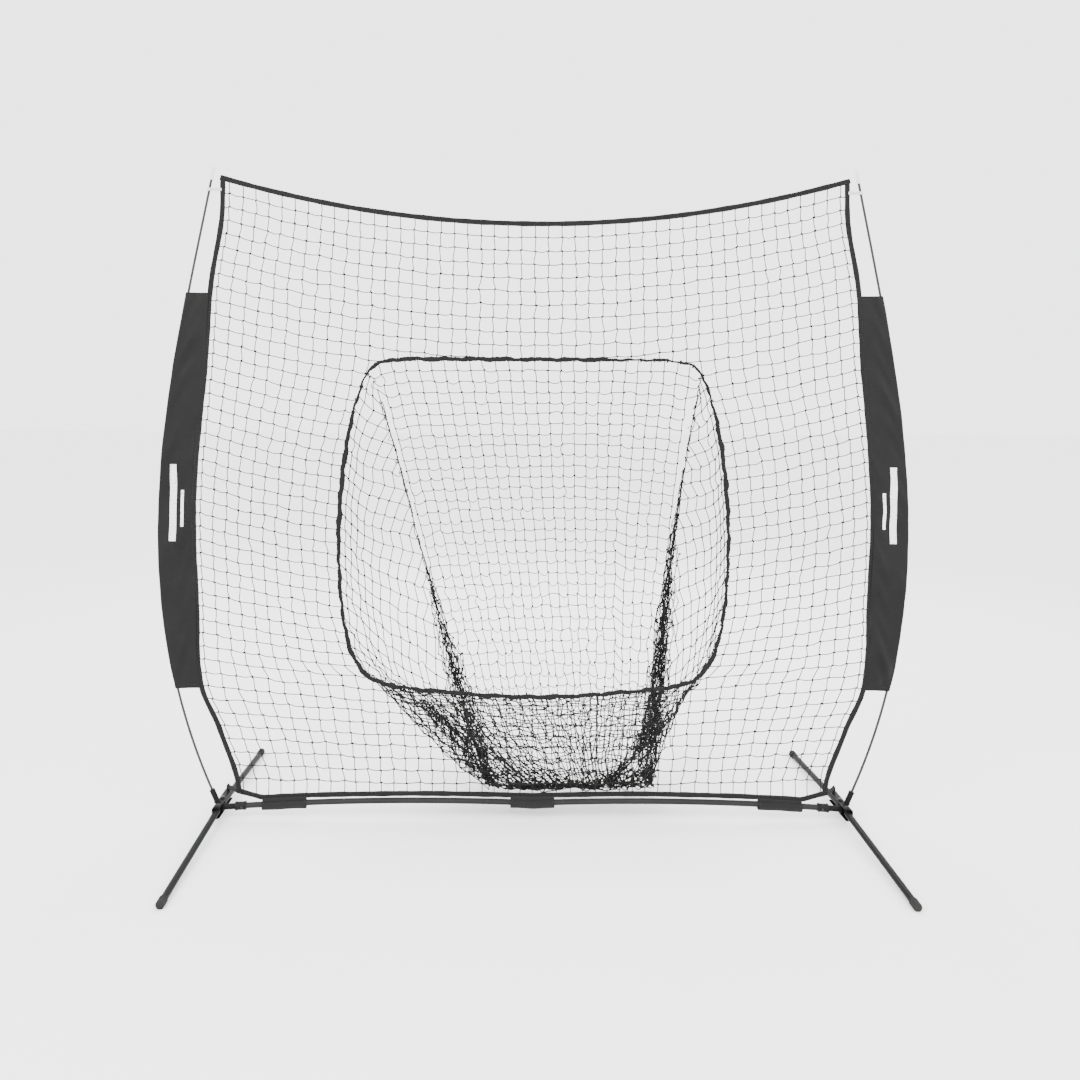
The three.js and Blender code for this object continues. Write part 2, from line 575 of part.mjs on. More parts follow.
// Bindings: webbing along the four edges.
const bindingSection = rectangle(-BINDING_THICKNESS / 2, -bindingReach, BINDING_THICKNESS / 2, bindingReach);
const edgeLine = (points, steps) => sweep(bindingSection, smooth(points), steps);
const cornerSpare = bindingReach + 2 * GAP;
add('binding_top', edgeLine(range(EDGE_STEPS).map((share) => {
  const x = lerp(-topCorner - bindingReach, topCorner + bindingReach, share);
  return vec(x, 0, topHeight(x));
}), 2 * EDGE_STEPS), 'webbing');
add('binding_bottom', edgeLine(range(2 * EDGE_STEPS).map((share) => {
  const x = lerp(-bottomCorner, bottomCorner, share);
  return vec(x, 0, hemHeight(x));
}), 2 * EDGE_STEPS), 'webbing');
function sideBinding() {
  return edgeLine(range(EDGE_STEPS).map((share) => {
    const z = lerp(NET_BOTTOM + cornerSpare, netTop - 1.6 * cornerSpare, share);
    return vec(edgeX(z), 0, z);
  }), 30);
}

// Sleeves from pole to net edge, and straps at the corners.
const tunnelRadius = FERRULE_DIAMETER / 2 + 3 * GAP;
function poleWrap(from, to, steps, radius, fabric) {
  return wrap(range(steps).map((share) => {
    const z = lerp(from, to, share);
    return { centre: vec(poleX(z), 0, z), edge: vec(edgeX(z) + bindingClear, 0, z) };
  }), radius, fabric);
}
const sleeve = () => poleWrap(SLEEVE_BOTTOM, SLEEVE_TOP, 14, tunnelRadius, SLEEVE_FABRIC);
function topLoop() {
  const top = POLE_TOP - TIP_CAP_LENGTH - 20;
  return poleWrap(top - LOOP_WIDTH, top, 1, POLE_DIAMETER / 2 + GAP, STRAP_FABRIC);
}
function cornerLoop() {
  const corner = vec(bottomCorner + bindingReach + GAP, BINDING_THICKNESS, NET_BOTTOM);
  const flat = pegPlace.clone().setZ(corner.z).sub(corner).normalize();
  const across = vec(-flat.y, flat.x, 0);
  const low = plateTop + PEG_DIAMETER / 2; // clear of the plate, though the strap slants
  return wrap([0, CORNER_LOOP_WIDTH].map((rise) => ({
    centre: pegPlace.clone().setZ(low + rise),
    edge: corner.clone().setZ(corner.z - CORNER_LOOP_WIDTH / 2 + rise),
  })), PEG_DIAMETER / 2 + 3 * GAP, STRAP_FABRIC, across);
}
for (const [sideName, side] of SIDES) {
  add(`binding_${sideName}`, mirrored(sideBinding(), side), 'webbing');
  add(`sleeve_${sideName}`, mirrored(sleeve(), side), 'nylon');
  add(`top_loop_${sideName}`, mirrored(topLoop(), side), 'elastic');
  add(`corner_loop_${sideName}`, mirrored(cornerLoop(), side), 'webbing');
}

// Tabs that wrap the base tube and hold the bottom binding.
function baseTab(centre) {
  return wrap(range(4).map((share) => {
    const x = centre + lerp(-TAB_LENGTH / 2, TAB_LENGTH / 2, share);
    return { centre: basePoint(x), edge: vec(x, 0, hemHeight(x) - bindingReach - 2 * GAP) };
  }), tubeRadius + 2 * GAP, TAB_FABRIC);
}
add('base_tab_left', baseTab(-TAB_CENTRE), 'tabFabric');
add('base_tab_centre', baseTab(0), 'tabFabric');
add('base_tab_right', baseTab(TAB_CENTRE), 'tabFabric');

export default net;
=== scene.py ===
# A portable pitching target net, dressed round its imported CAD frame. Metres, +X right, +Y behind the net,
# +Z up. Sections follow the object as it is put up: base, legs, poles, then the net and what holds it.
import math
import bpy
import numpy as np
from mathutils import Matrix, Vector


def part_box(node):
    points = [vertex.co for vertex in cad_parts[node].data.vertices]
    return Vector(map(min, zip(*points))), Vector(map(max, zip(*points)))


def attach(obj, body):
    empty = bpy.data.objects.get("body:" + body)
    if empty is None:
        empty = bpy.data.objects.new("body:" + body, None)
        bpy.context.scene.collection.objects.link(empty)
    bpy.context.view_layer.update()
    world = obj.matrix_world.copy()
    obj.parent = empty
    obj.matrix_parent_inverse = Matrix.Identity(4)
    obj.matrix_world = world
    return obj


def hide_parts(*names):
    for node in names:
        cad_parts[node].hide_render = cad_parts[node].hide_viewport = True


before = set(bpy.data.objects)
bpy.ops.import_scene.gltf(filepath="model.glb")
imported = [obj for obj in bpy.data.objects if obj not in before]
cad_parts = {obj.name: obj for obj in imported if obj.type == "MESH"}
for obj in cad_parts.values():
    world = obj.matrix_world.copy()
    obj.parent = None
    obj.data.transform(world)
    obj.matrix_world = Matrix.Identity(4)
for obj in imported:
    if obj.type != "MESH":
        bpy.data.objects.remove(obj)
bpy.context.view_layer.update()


# ---- Camera, floor and light ----
# A thrower's eye height, three metres in front of the net, looking level across it.
EYE = (-0.1215, -3.0075, 1.4483)
TURN, ROLL = -0.0035, 0.0052
FLOOR, FLOOR_DROP = 30.0, 0.0005


def placed(name, data):
    made = bpy.data.objects.new(name, data)
    bpy.context.collection.objects.link(made)
    return made


camera_data = bpy.data.cameras.new("camera")
camera_data.sensor_width = 36
camera_data.lens = 29.38
camera_data.shift_x = 0.0353
camera_data.shift_y = -0.1348
camera = placed("camera", camera_data)
bpy.context.scene.camera = camera
camera.matrix_world = (Matrix.Translation(EYE) @ Matrix.Rotation(TURN, 4, "Z")
                       @ Matrix.Rotation(math.pi / 2, 4, "X") @ Matrix.Rotation(ROLL, 4, "Z"))

floor_mesh = bpy.data.meshes.new("floor")
corners = ((-FLOOR, -FLOOR), (FLOOR, -FLOOR), (FLOOR, FLOOR), (-FLOOR, FLOOR))
floor_mesh.from_pydata([(x, y, -FLOOR_DROP) for x, y in corners], [], [(0, 1, 2, 3)])
floor = placed("floor", floor_mesh)
floor_paint = bpy.data.materials.new("pale floor")
floor_paint.use_nodes = True
floor_shader = floor_paint.node_tree.nodes["Principled BSDF"]
floor_shader.inputs["Base Color"].default_value = (0.93, 0.93, 0.93, 1)
floor_shader.inputs["Roughness"].default_value = 0.9
floor_shader.inputs["Specular IOR Level"].default_value = 0.1
floor_mesh.materials.append(floor_paint)

world = bpy.data.worlds.new("studio")
bpy.context.scene.world = world
world.use_nodes = True
sky = world.node_tree.nodes["Background"]
sky.inputs["Color"].default_value = (1, 1, 1, 1)
sky.inputs["Strength"].default_value = 3.4


def add_softbox(name, place, target, size, power):
    light = bpy.data.lights.new(name, "AREA")
    light.size = size
    light.energy = power
    box = placed(name, light)
    box.location = place
    box.rotation_euler = (Vector(target) - Vector(place)).to_track_quat("-Z", "Y").to_euler()


add_softbox("key", (-2.6, -3.4, 4.2), (0, 0, 0.9), 2.4, 260)
add_softbox("fill", (3.2, -2.6, 2.6), (0, 0, 0.9), 2.6, 100)
add_softbox("back", (0.6, 3.4, 3.6), (0, 0, 1.0), 2.6, 150)


# ---- Hub brackets ----
# A folded steel channel at each end of the base, open towards the middle, powder-coated black. A stub of
# tube and an outward-leaning pole socket are welded to it, and a peg at its rear takes the net's corner.
HALF_SPAN = 1.065
HUB_HEIGHT = 0.037
SIDES = (("left", -1), ("right", 1))


def point(x, y, z):
    return np.array([x, y, z], float)


def unit(v):
    return v / np.linalg.norm(v)


def joined(*parts):
    """Several (points, faces) as one."""
    verts, faces, first = [], [], 0
    for part_verts, part_faces in parts:
        verts.extend(part_verts)
        faces.extend([tuple(first + i for i in face) for face in part_faces])
        first += len(part_verts)
    return verts, faces


def between_rings(rows, around, closed=False):
    """Faces between rings of points; closed joins the last ring to the first."""
    faces = []
    for i in range(rows if closed else rows - 1):
        here, after = i * around, (i + 1) % rows * around
        faces += [(here + k, here + (k + 1) % around, after + (k + 1) % around, after + k)
                  for k in range(around)]
    return faces


def round_ends(rows, around):
    """The two flat ends of a round body."""
    return [tuple(reversed(range(around))), tuple(range((rows - 1) * around, rows * around))]


def strip_ends(rows, around):
    """The two ends of a band, whose rings run out along one face and back along the other."""
    first_end, last_end = [], []
    last = (rows - 1) * around
    for k in range(around // 2 - 1):
        quad = (k, k + 1, around - 2 - k, around - 1 - k)
        first_end.append(quad[::-1])
        last_end.append(tuple(last + corner for corner in quad))
    return first_end + last_end


def turned(path, profile, sides=32, closed=False):
    """A round surface about a path, its profile given as (distance along the path, radius)."""
    verts = []
    for along, radius in profile:
        centre = path(along)
        tangent = unit(path(along + 1e-4) - path(along - 1e-4))
        guide = point(0, 1, 0) if abs(tangent[1]) < 0.8 else point(1, 0, 0)
        side = unit(guide - tangent * guide.dot(tangent))
        up = np.cross(tangent, side)
        for k in range(sides):
            angle = 2 * math.pi * k / sides
            verts.append(centre + max(radius, 1e-5) * (math.cos(angle) * side + math.sin(angle) * up))
    rows = len(profile)
    return verts, between_rings(rows, sides, closed) + ([] if closed else round_ends(rows, sides))


def straight(start, direction):
    start, direction = np.array(start, float), unit(np.array(direction, float))
    return lambda along: start + direction * along


def tube_profile(start, end, outer, inner, edge=0.0006, step=0.03):
    """A hollow tube's closed profile, its edges broken."""
    count = max(1, round((end - start) / step))
    walls = [start + edge + (end - start - 2 * edge) * i / count for i in range(count + 1)]
    return ([(start, inner + edge), (start, outer - edge)] + [(s, outer) for s in walls]
            + [(end, outer - edge), (end, inner + edge)] + [(s, inner) for s in reversed(walls)])


class Socket:
    """A material socket; arithmetic on it adds Math nodes."""

    def __init__(self, tree, socket):
        self.tree, self.socket = tree, socket

    def node(self, kind, settings=None, inputs=None, output=0):
        made = self.tree.nodes.new("ShaderNode" + kind)
        for name, value in (settings or {}).items():
            setattr(made, name, value)
        for name, value in (inputs or {}).items():
            if isinstance(value, Socket):
                self.tree.links.new(value.socket, made.inputs[name])
            else:
                made.inputs[name].default_value = value
        return Socket(self.tree, made.outputs[output])

    def maths(self, operation, first, second=0.0):
        return self.node("Math", {"operation": operation}, {0: first, 1: second})

    def __add__(self, other): return self.maths("ADD", self, other)
    __radd__ = __add__
    def __sub__(self, other): return self.maths("SUBTRACT", self, other)
    def __rsub__(self, other): return self.maths("SUBTRACT", other, self)
    def __mul__(self, other): return self.maths("MULTIPLY", self, other)
    __rmul__ = __mul__
    def __gt__(self, other): return self.maths("GREATER_THAN", self, other)
    def __lt__(self, other): return self.maths("LESS_THAN", self, other)
    def __abs__(self): return self.maths("ABSOLUTE", self)
    def sine(self): return self.maths("SINE", self)

    def axes(self):
        """Its three parts, as sockets."""
        split = self.node("SeparateXYZ", None, {"Vector": self})
        return [Socket(self.tree, part) for part in split.socket.node.outputs]

    def between(self, low, high):
        """Two colours mixed by this share."""
        return self.node("Mix", {"data_type": "RGBA"}, {0: self, 6: low, 7: high}, 2)


def start_finish(name, **constants):
    """A new material: its shader and the place on the object."""
    material = bpy.data.materials.new(name)
    material.use_nodes = True
    tree = material.node_tree
    shader = tree.nodes["Principled BSDF"]
    for label, value in constants.items():
        shader.inputs[label.replace("_", " ")].default_value = value
    place = Socket(tree, tree.nodes.new("ShaderNodeTexCoord").outputs["Object"])
    return material, shader, place


def noise(place, scale, detail=3.0, roughness=0.55):
    return place.node("TexNoise", None, {"Vector": place, "Scale": scale, "Detail": detail,
                                        "Roughness": roughness})


def feed(shader, name, socket):
    socket.tree.links.new(socket.socket, shader.inputs[name])


def bump(shader, height, strength, distance):
    feed(shader, "Normal", height.node("Bump", None, {"Strength": strength, "Distance": distance,
                                                     "Height": height}))


def grey(value, warmth=0.0):
    return (value * (1 + warmth), value, value * (1 - warmth), 1)


def powder_coat(name, dark, light, roughness):
    """Powder-coated steel: a fine orange peel, dusty patches, and scuffs that let a little steel show."""
    material, shader, place = start_finish(name, Specular_IOR_Level=0.05)
    dust = noise(place, 9.0)
    scuff = noise(place, 55.0, 5.0, 0.7) > 0.66
    coat = dust.between(grey(dark), grey(light))
    feed(shader, "Base Color", (scuff * 0.3).between(coat, grey(light * 1.8)))
    feed(shader, "Roughness", dust * 0.22 + roughness + scuff * 0.1)
    bump(shader, noise(place, 900.0, 1.0), 0.25, 0.0004)
    return material


black_coat = powder_coat("black powder coat", 0.004, 0.009, 0.3)


NO_CREASE = 180


def add_piece(name, parts, material, slot, body, *nodes, crease=35):
    """A piece from its points and faces, smooth but for edges sharper than the crease."""
    verts, faces = parts
    mesh = bpy.data.meshes.new(name)
    mesh.from_pydata([tuple(v) for v in verts], [], [tuple(f) for f in faces])
    mesh.validate()
    mesh.shade_smooth()
    mesh.set_sharp_from_angle(angle=math.radians(crease))
    mesh.materials.append(material)
    piece = placed(name, mesh)
    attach(piece, body)
    if nodes:
        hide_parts(*nodes)
    return piece


def mirrored(part, side):
    """The part for the side asked for; it is drawn for the right."""
    if side > 0:
        return part
    verts, faces = part
    return [v * point(-1, 1, 1) for v in verts], [tuple(reversed(f)) for f in faces]


TUBE_RADIUS = 0.0095
TUBE_BORE = TUBE_RADIUS - 0.0015
BASE_MIDDLE, BASE_ARCH = 0.055, 0.076


def base_height(x):
    """Height of the base tube's centre line: each half is one shallow arch."""
    share = np.abs(x) / HALF_SPAN
    return (1 - share) ** 2 * BASE_MIDDLE + 2 * share * (1 - share) * BASE_ARCH + share ** 2 * HUB_HEIGHT


def base_path(x):
    return point(x, 0, base_height(x))


low, high = (np.array(corner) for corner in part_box("hub_bracket_right"))
CHANNEL_FRONT, CHANNEL_REAR = low[1], high[1]
PLATE_BELOW = low[2]
PLATE_TOP = 2 * HUB_HEIGHT - PLATE_BELOW
WALL = 0.0025
LIP_REACH = 0.0125
WEB_OUTSIDE = high[0] - HALF_SPAN
STUB_START = low[0]
PEG_Y = CHANNEL_REAR - 0.012
PEG_TOP = high[2]


def folded_channel():
    """The C section with rounded folds, drawn from its top lip round to the bottom lip, then extruded."""
    half = PLATE_TOP - HUB_HEIGHT
    bend = 0.005

    def fold(cx, cz, radius, start, end):
        return [(cx + radius * math.cos(a), cz + radius * math.sin(a)) for a in np.linspace(start, end, 7)]
    cx, cz = WEB_OUTSIDE - bend, half - bend
    outer = ([(-LIP_REACH, half)] + fold(cx, cz, bend, math.pi / 2, 0)
             + fold(cx, -cz, bend, 0, -math.pi / 2) + [(-LIP_REACH, -half)])
    inner = ([(-LIP_REACH, WALL - half)] + fold(cx, -cz, bend - WALL, -math.pi / 2, 0)
             + fold(cx, cz, bend - WALL, 0, math.pi / 2) + [(-LIP_REACH, half - WALL)])
    outline = outer + inner
    verts = [point(HALF_SPAN + x, y, HUB_HEIGHT + z) for y in (CHANNEL_FRONT, CHANNEL_REAR)
             for x, z in outline]
    return verts, between_rings(2, len(outline)) + strip_ends(2, len(outline))


SOCKET_TILT = math.radians(24)
SOCKET_AXIS = point(math.sin(SOCKET_TILT), 0, math.cos(SOCKET_TILT))
SOCKET_LENGTH = 0.066
HUB = point(HALF_SPAN, 0, HUB_HEIGHT)


def weld_bead(centre, axis, radius, size=0.0018):
    """A rippled bead laid round a tube where it meets a plate."""
    ring = [unit(np.cross(axis, point(0, 1, 0))), point(0, 1, 0)]
    def path(along):
        angle = along / radius
        return centre + radius * (math.cos(angle) * ring[0] + math.sin(angle) * ring[1])
    turns = 48
    total = 2 * math.pi * radius
    profile = [(total * i / turns, size * (1 + 0.15 * math.sin(i * 2.1))) for i in range(turns)]
    return turned(path, profile, 8, closed=True)


for side_name, side in SIDES:
    stub = turned(base_path, tube_profile(STUB_START, HALF_SPAN + 0.011, TUBE_RADIUS, TUBE_BORE))
    peg = turned(straight((HALF_SPAN, PEG_Y, PLATE_TOP - 0.001), (0, 0, 1)),
                 [(0, 0.003), (PEG_TOP - PLATE_TOP - 0.001, 0.003), (PEG_TOP - PLATE_TOP + 0.0002, 0.0022),
                  (PEG_TOP - PLATE_TOP + 0.001, 0.0)], 20)
    foot_of_socket = HUB + SOCKET_AXIS * ((PLATE_TOP - HUB_HEIGHT) / math.cos(SOCKET_TILT))
    welds = [weld_bead(foot_of_socket + point(0, 0, 0.0006), point(0, 0, 1), 0.0098),
             weld_bead(point(HALF_SPAN, PEG_Y, PLATE_TOP + 0.0004), point(0, 0, 1), 0.0033, 0.0011),
             weld_bead(base_path(HALF_SPAN - LIP_REACH), point(1, 0, 0), TUBE_RADIUS + 0.0004, 0.0014)]
    parts = mirrored(joined(folded_channel(), stub, peg, *welds), side)
    add_piece(f"bracket_{side_name}", parts, black_coat, "painted_steel", "frame", f"hub_bracket_{side_name}")
    mouth = tube_profile(0.0165 / math.cos(SOCKET_TILT), SOCKET_LENGTH, 0.009, 0.0064)
    parts = mirrored(turned(straight(HUB, SOCKET_AXIS), mouth, 36, closed=True), side)
    add_piece(f"socket_{side_name}", parts, black_coat, "painted_steel", "frame", f"pole_socket_{side_name}")


# ---- Base tube, collars and snap buttons ----
# Two arched halves of satin grey steel tube, joined in the middle over a sleeve. At each hub a collar of
# larger tube covers the joint with the stub, and a sprung button through its front locks the two.
grey_coat = powder_coat("satin grey coat", 0.014, 0.023, 0.26)
collar_coat = powder_coat("dark collar coat", 0.007, 0.013, 0.28)


def mottled(name, scale, dark, light, roughness, drift, **constants):
    """A finish whose colour and roughness drift together, up from the roughness given."""
    material, shader, place = start_finish(name, **constants)
    cloud = noise(place, scale)
    feed(shader, "Base Color", cloud.between(dark, light))
    feed(shader, "Roughness", cloud * drift + roughness)
    return material, shader, place


def zinc(name, level, roughness):
    """Zinc plate: a fine spangle and dull fingerprints."""
    material, shader, place = mottled(name, 70.0, grey(level * 0.8), grey(level), roughness, 0.25,
                                      Metallic=0.9)
    bump(shader, place.node("TexVoronoi", None, {"Vector": place, "Scale": 420.0}, 1), 0.08, 0.0004)
    return material


def refinish(node, material):
    """A CAD piece shown as it is, in this material."""
    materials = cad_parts[node].data.materials
    materials.clear()
    materials.append(material)


bright_zinc = zinc("zinc plate", 0.34, 0.24)
black_zinc = zinc("black zinc plate", 0.05, 0.3)
COLLAR_RADIUS = 0.0145
COLLAR_FROM, COLLAR_TO = 0.975, 1.011

for side_name, side in SIDES:
    _, tube_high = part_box("base_tube_right")
    tube = turned(base_path, tube_profile(0.0008, tube_high[0], TUBE_RADIUS, TUBE_BORE), 36, True)
    add_piece(f"base_half_{side_name}", mirrored(tube, side), grey_coat, "grey_tube", "frame",
              f"base_tube_{side_name}")
    # Each end of the collar is a raised band with a rounded lip; the profile runs in from both ends.
    band = ((0, TUBE_RADIUS + 0.0004), (0, COLLAR_RADIUS - 0.0012), (0.0012, COLLAR_RADIUS),
            (0.005, COLLAR_RADIUS), (0.0058, COLLAR_RADIUS - 0.0011))
    rim = ([(COLLAR_FROM + reach, radius) for reach, radius in band]
           + [(COLLAR_TO - reach, radius) for reach, radius in band[::-1]])
    add_piece(f"joint_collar_{side_name}", mirrored(turned(base_path, rim, 40, True), side), collar_coat,
              "grey_tube", "frame", f"collar_{side_name}")
    node_low, node_high = (np.array(c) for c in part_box(f"snap_button_{side_name}"))
    middle = (node_low + node_high) / 2
    reach = -node_low[1]
    pin = turned(straight((middle[0], 0, middle[2]), (0, -1, 0)),
                 [(0.0043, 0.0048), (0.0056, 0.0048), (0.0057, 0.0035), (reach - 0.002, 0.0035),
                  (reach - 0.0008, 0.0029), (reach - 0.0002, 0.0017), (reach, 0.0)], 24)
    button = f"snap_button_{side_name}"
    add_piece(f"button_{side_name}", pin, black_zinc, "zinc_steel", button, button)
refinish("base_joiner", bright_zinc)


# ---- Legs, pivots and foot caps ----
# Four black steel tubes, each turning on an upright bolt with a nylon-ringed lock nut, and each ending in
# a push-on rubber cap with grip rings and a flat sole.
LEG_RADIUS = 0.0105
PIVOT_Y, FOOT_Y = 0.030, 0.530
FOOT_HEIGHT = 0.011
FOOT_LENGTH, FOOT_RADIUS, NOSE = 0.026, 0.013, 0.008


rubber, shader, place = mottled("black rubber", 60.0, grey(0.009), grey(0.028, 0.04), 0.66, 0.2,
                                Specular_IOR_Level=0.08)
bump(shader, noise(place, 1200.0, 2.0), 0.3, 0.0003)
HEX = 0.0075


def upright(centre, height):
    """A path straight up from a height on a pivot's line."""
    return straight((centre[0], centre[1], height), (0, 0, 1))


def hex_piece(bottom, top, centre):
    """A hexagon with chamfered corners."""
    height = top - bottom
    profile = [(0, HEX * 0.9), (height * 0.12, HEX), (height * 0.86, HEX), (height, HEX * 0.86)]
    return turned(upright(centre, bottom), profile, 6)


for side_name, side in SIDES:
    for end_name, end in (("front", -1), ("rear", 1)):
        which = f"{end_name}_{side_name}"
        body = f"leg_{which}"
        pivot = point(side * HALF_SPAN, end * PIVOT_Y, HUB_HEIGHT)
        foot = point(side * HALF_SPAN, end * FOOT_Y, FOOT_HEIGHT)
        length = np.linalg.norm(foot - pivot)
        path = straight(pivot, foot - pivot)
        dome = [(-LEG_RADIUS * math.cos(a), LEG_RADIUS * math.sin(a)) for a in np.linspace(0, math.pi / 2, 8)]
        shaft = [(s, LEG_RADIUS) for s in np.linspace(0.02, length, 18)]
        tube = turned(path, dome + shaft, 36)
        add_piece(f"leg_tube_{which}", tube, black_coat, "painted_steel", body, body)
        cap_start = length - FOOT_LENGTH
        rings = [(cap_start, 0.0108), (cap_start, 0.0122), (cap_start + 0.001, FOOT_RADIUS)]
        for groove in range(4):
            at = cap_start + 0.004 + 0.0045 * groove
            rings += [(at, FOOT_RADIUS), (at + 0.0006, FOOT_RADIUS - 0.0007),
                      (at + 0.0016, FOOT_RADIUS - 0.0007), (at + 0.0022, FOOT_RADIUS)]
        nose = [(length + NOSE * math.sin(a), FOOT_RADIUS - NOSE + NOSE * math.cos(a))
                for a in np.linspace(0, math.pi / 2, 8)]
        verts, faces = turned(path, rings + nose, 36)
        verts = [point(v[0], v[1], max(v[2], 0.0)) for v in verts]
        add_piece(f"foot_{which}", (verts, faces), rubber, "rubber", body, f"foot_cap_{which}")
        head_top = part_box(f"pivot_bolt_{which}")[1][2]
        nut_low, nut_high = (corner[2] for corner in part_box(f"lock_nut_{which}"))
        washer = turned(upright(pivot, PLATE_TOP + 0.0004),
                        [(0, 0.0088), (0.0003, 0.009), (0.0011, 0.009), (0.0014, 0.0087)], 32)
        shank = turned(upright(pivot, nut_low - 0.002),
                       [(0, 0.0034), (0.0006, 0.004), (head_top - nut_low, 0.004)], 24)
        bolt = joined(shank, washer, hex_piece(PLATE_TOP + 0.0018, head_top, pivot))
        add_piece(f"bolt_{which}", bolt, black_zinc, "zinc_steel", "frame", f"pivot_bolt_{which}", crease=25)
        ring = turned(upright(pivot, nut_low - 0.0012), [(0, 0.0052), (0.0004, 0.0058), (0.0016, 0.0058)], 24)
        nut = joined(hex_piece(nut_low, nut_high, pivot), ring)
        add_piece(f"nut_{which}", nut, black_zinc, "zinc_steel", "frame", f"lock_nut_{which}", crease=25)


# ---- Bow poles ----
# Each pole is three pultruded fibreglass rods under steel ferrules, with a steel end in the hub's socket and
# a push-on cap at the tip. The strung net bends it into one long bow.
POLE_TOP = 2.215
TIP = point(HALF_SPAN + 0.032, 0, POLE_TOP)
TIP_LEAN = math.radians(11)
TIP_AXIS = point(-math.sin(TIP_LEAN), 0, math.cos(TIP_LEAN))
BOW_POINTS = (HUB + SOCKET_AXIS * SOCKET_LENGTH, HUB + SOCKET_AXIS * (SOCKET_LENGTH + 0.8),
              TIP - TIP_AXIS * 0.7, TIP)
BOW_PACE = 2.2
ROD_RADIUS = 0.004
CAP_LENGTH, CAP_DOME = 0.048, 0.0052


def bow(share):
    """The pole's centre line, from the socket's mouth at 0 to the tip at 1, and straight on beyond them."""
    p0, p1, p2, p3 = BOW_POINTS
    if share < 0:
        return p0 + SOCKET_AXIS * share * BOW_PACE
    if share > 1:
        return p3 + TIP_AXIS * (share - 1) * BOW_PACE
    rest = 1 - share
    return rest ** 3 * p0 + 3 * rest ** 2 * share * p1 + 3 * rest * share ** 2 * p2 + share ** 3 * p3


# Long fine fibres under resin.
rod_resin, shader, place = start_finish("fibreglass rod", Specular_IOR_Level=0.15)
drawn = place.node("VectorMath", {"operation": "MULTIPLY"}, {0: place, 1: (900.0, 900.0, 9.0)})
fibres = noise(drawn, 1.0, 2.0)
feed(shader, "Base Color", fibres.between(grey(0.014), grey(0.04)))
feed(shader, "Roughness", fibres * 0.25 + 0.3)
bump(shader, fibres, 0.15, 0.0003)


def plain_nylon(name, dark, light, roughness):
    """Undyed nylon: milky, with handling marks."""
    material, shader, place = mottled(name, 90.0, grey(dark, 0.02), grey(light, 0.01), roughness - 0.07, 0.15,
                                      Specular_IOR_Level=0.4)
    bump(shader, noise(place, 1500.0, 1.0), 0.15, 0.0003)
    return material


cap_nylon = plain_nylon("natural nylon", 0.55, 0.72, 0.45)
heights = {name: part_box(f"pole_{name}_right") for name in ("lower", "middle", "upper")}
shares = np.linspace(0, 1, 2001)
bow_heights = np.array([bow(s)[2] for s in shares])


def bow_share(height):
    """Where along the bow a height is."""
    return float(np.interp(height, bow_heights, shares))


def bow_x(height):
    return bow(bow_share(height))[0]


for side_name, side in SIDES:
    for name, (low, high) in heights.items():
        start = bow_share(low[2]) if name != "lower" else -0.022
        end = bow_share(high[2]) - 0.0002
        steps = [(s, ROD_RADIUS) for s in np.linspace(start, end, 60)]
        rod = turned(bow, [(start, 0.0036)] + steps + [(end, 0.0036)], 24)
        add_piece(f"rod_{name}_{side_name}", mirrored(rod, side), rod_resin, "fibreglass", "frame",
                  f"pole_{name}_{side_name}")
    skirt = CAP_DOME - CAP_LENGTH
    cap = [(skirt, 0.0045), (skirt, 0.006), (skirt + 0.0005, 0.0064)]
    cap += [(skirt + 0.004 + 0.004 * ring + d, r) for ring in range(3)
            for d, r in ((0, 0.0064), (0.0005, 0.0058), (0.0015, 0.0058), (0.002, 0.0064))]
    cap += [(CAP_DOME * math.sin(a), 0.0014 + 0.005 * math.cos(a)) for a in np.linspace(0, 1.57, 7)]
    cap = [(1 + reach / BOW_PACE, radius) for reach, radius in cap]
    add_piece(f"pole_cap_{side_name}", mirrored(turned(bow, cap, 24), side), cap_nylon, "pale_nylon", "frame",
              f"tip_cap_{side_name}")
    for name in ("pole_end", "ferrule_lower", "ferrule_upper"):
        refinish(f"{name}_{side_name}", bright_zinc)


# ---- Front net ----
# One square sheet of knotted polyester twine, hung on the square, with a rounded opening cut in its middle.
# The bent poles stretch it, so its lines bow towards the corners and sag between them.
MESH = 0.0454
TWINE = 0.00155
KNOT = 0.0033
KNOT_STEP = 0.0022
CORNER_DROP, TOP_SAG = 0.034, 0.150
NET_TOP, NET_BOTTOM = POLE_TOP - CORNER_DROP, 0.092
BOTTOM_CORNER = HALF_SPAN - 0.065
EDGE_GAPS = ((0, 0.090), (0.1, 0.104), (0.17, 0.082), (0.31, 0.113), (0.45, 0.113), (0.68, 0.104),
             (0.83, 0.070), (0.93, 0.063), (1, 0.038))
OPENING_HALF, OPENING_LOW, OPENING_HIGH = 0.664, 0.416, 1.568
OPENING_OUTLINE = ((0, 1), (0.45, 1), (0.74, 0.995), (0.835, 0.975), (0.9, 0.9), (0.963, 0.745),
                   (0.998, 0.55), (1, 0.4), (0.975, 0.23), (0.92, 0.115), (0.82, 0.05), (0.4, 0.012), (0, 0))
HEM_RISE, HEM_HELD = 0.024, 0.920
rng = np.random.default_rng(7)


def smooth_through(places, values, at):
    """A smooth value through pairs: a cubic between each two, its slopes from their neighbours."""
    places, values = np.array(places, float), np.array(values, float)
    last = len(places) - 1
    k = int(np.clip(np.searchsorted(places, at, side="right") - 1, 0, last - 1))

    def slope(i):
        a, b = max(0, i - 1), min(last, i + 1)
        return (values[b] - values[a]) / (places[b] - places[a])
    width = places[k + 1] - places[k]
    t = (at - places[k]) / width
    return (values[k] * (1 + 2 * t) * (1 - t) ** 2 + slope(k) * width * t * (1 - t) ** 2
            + values[k + 1] * t ** 2 * (3 - 2 * t) + slope(k + 1) * width * t ** 2 * (t - 1))


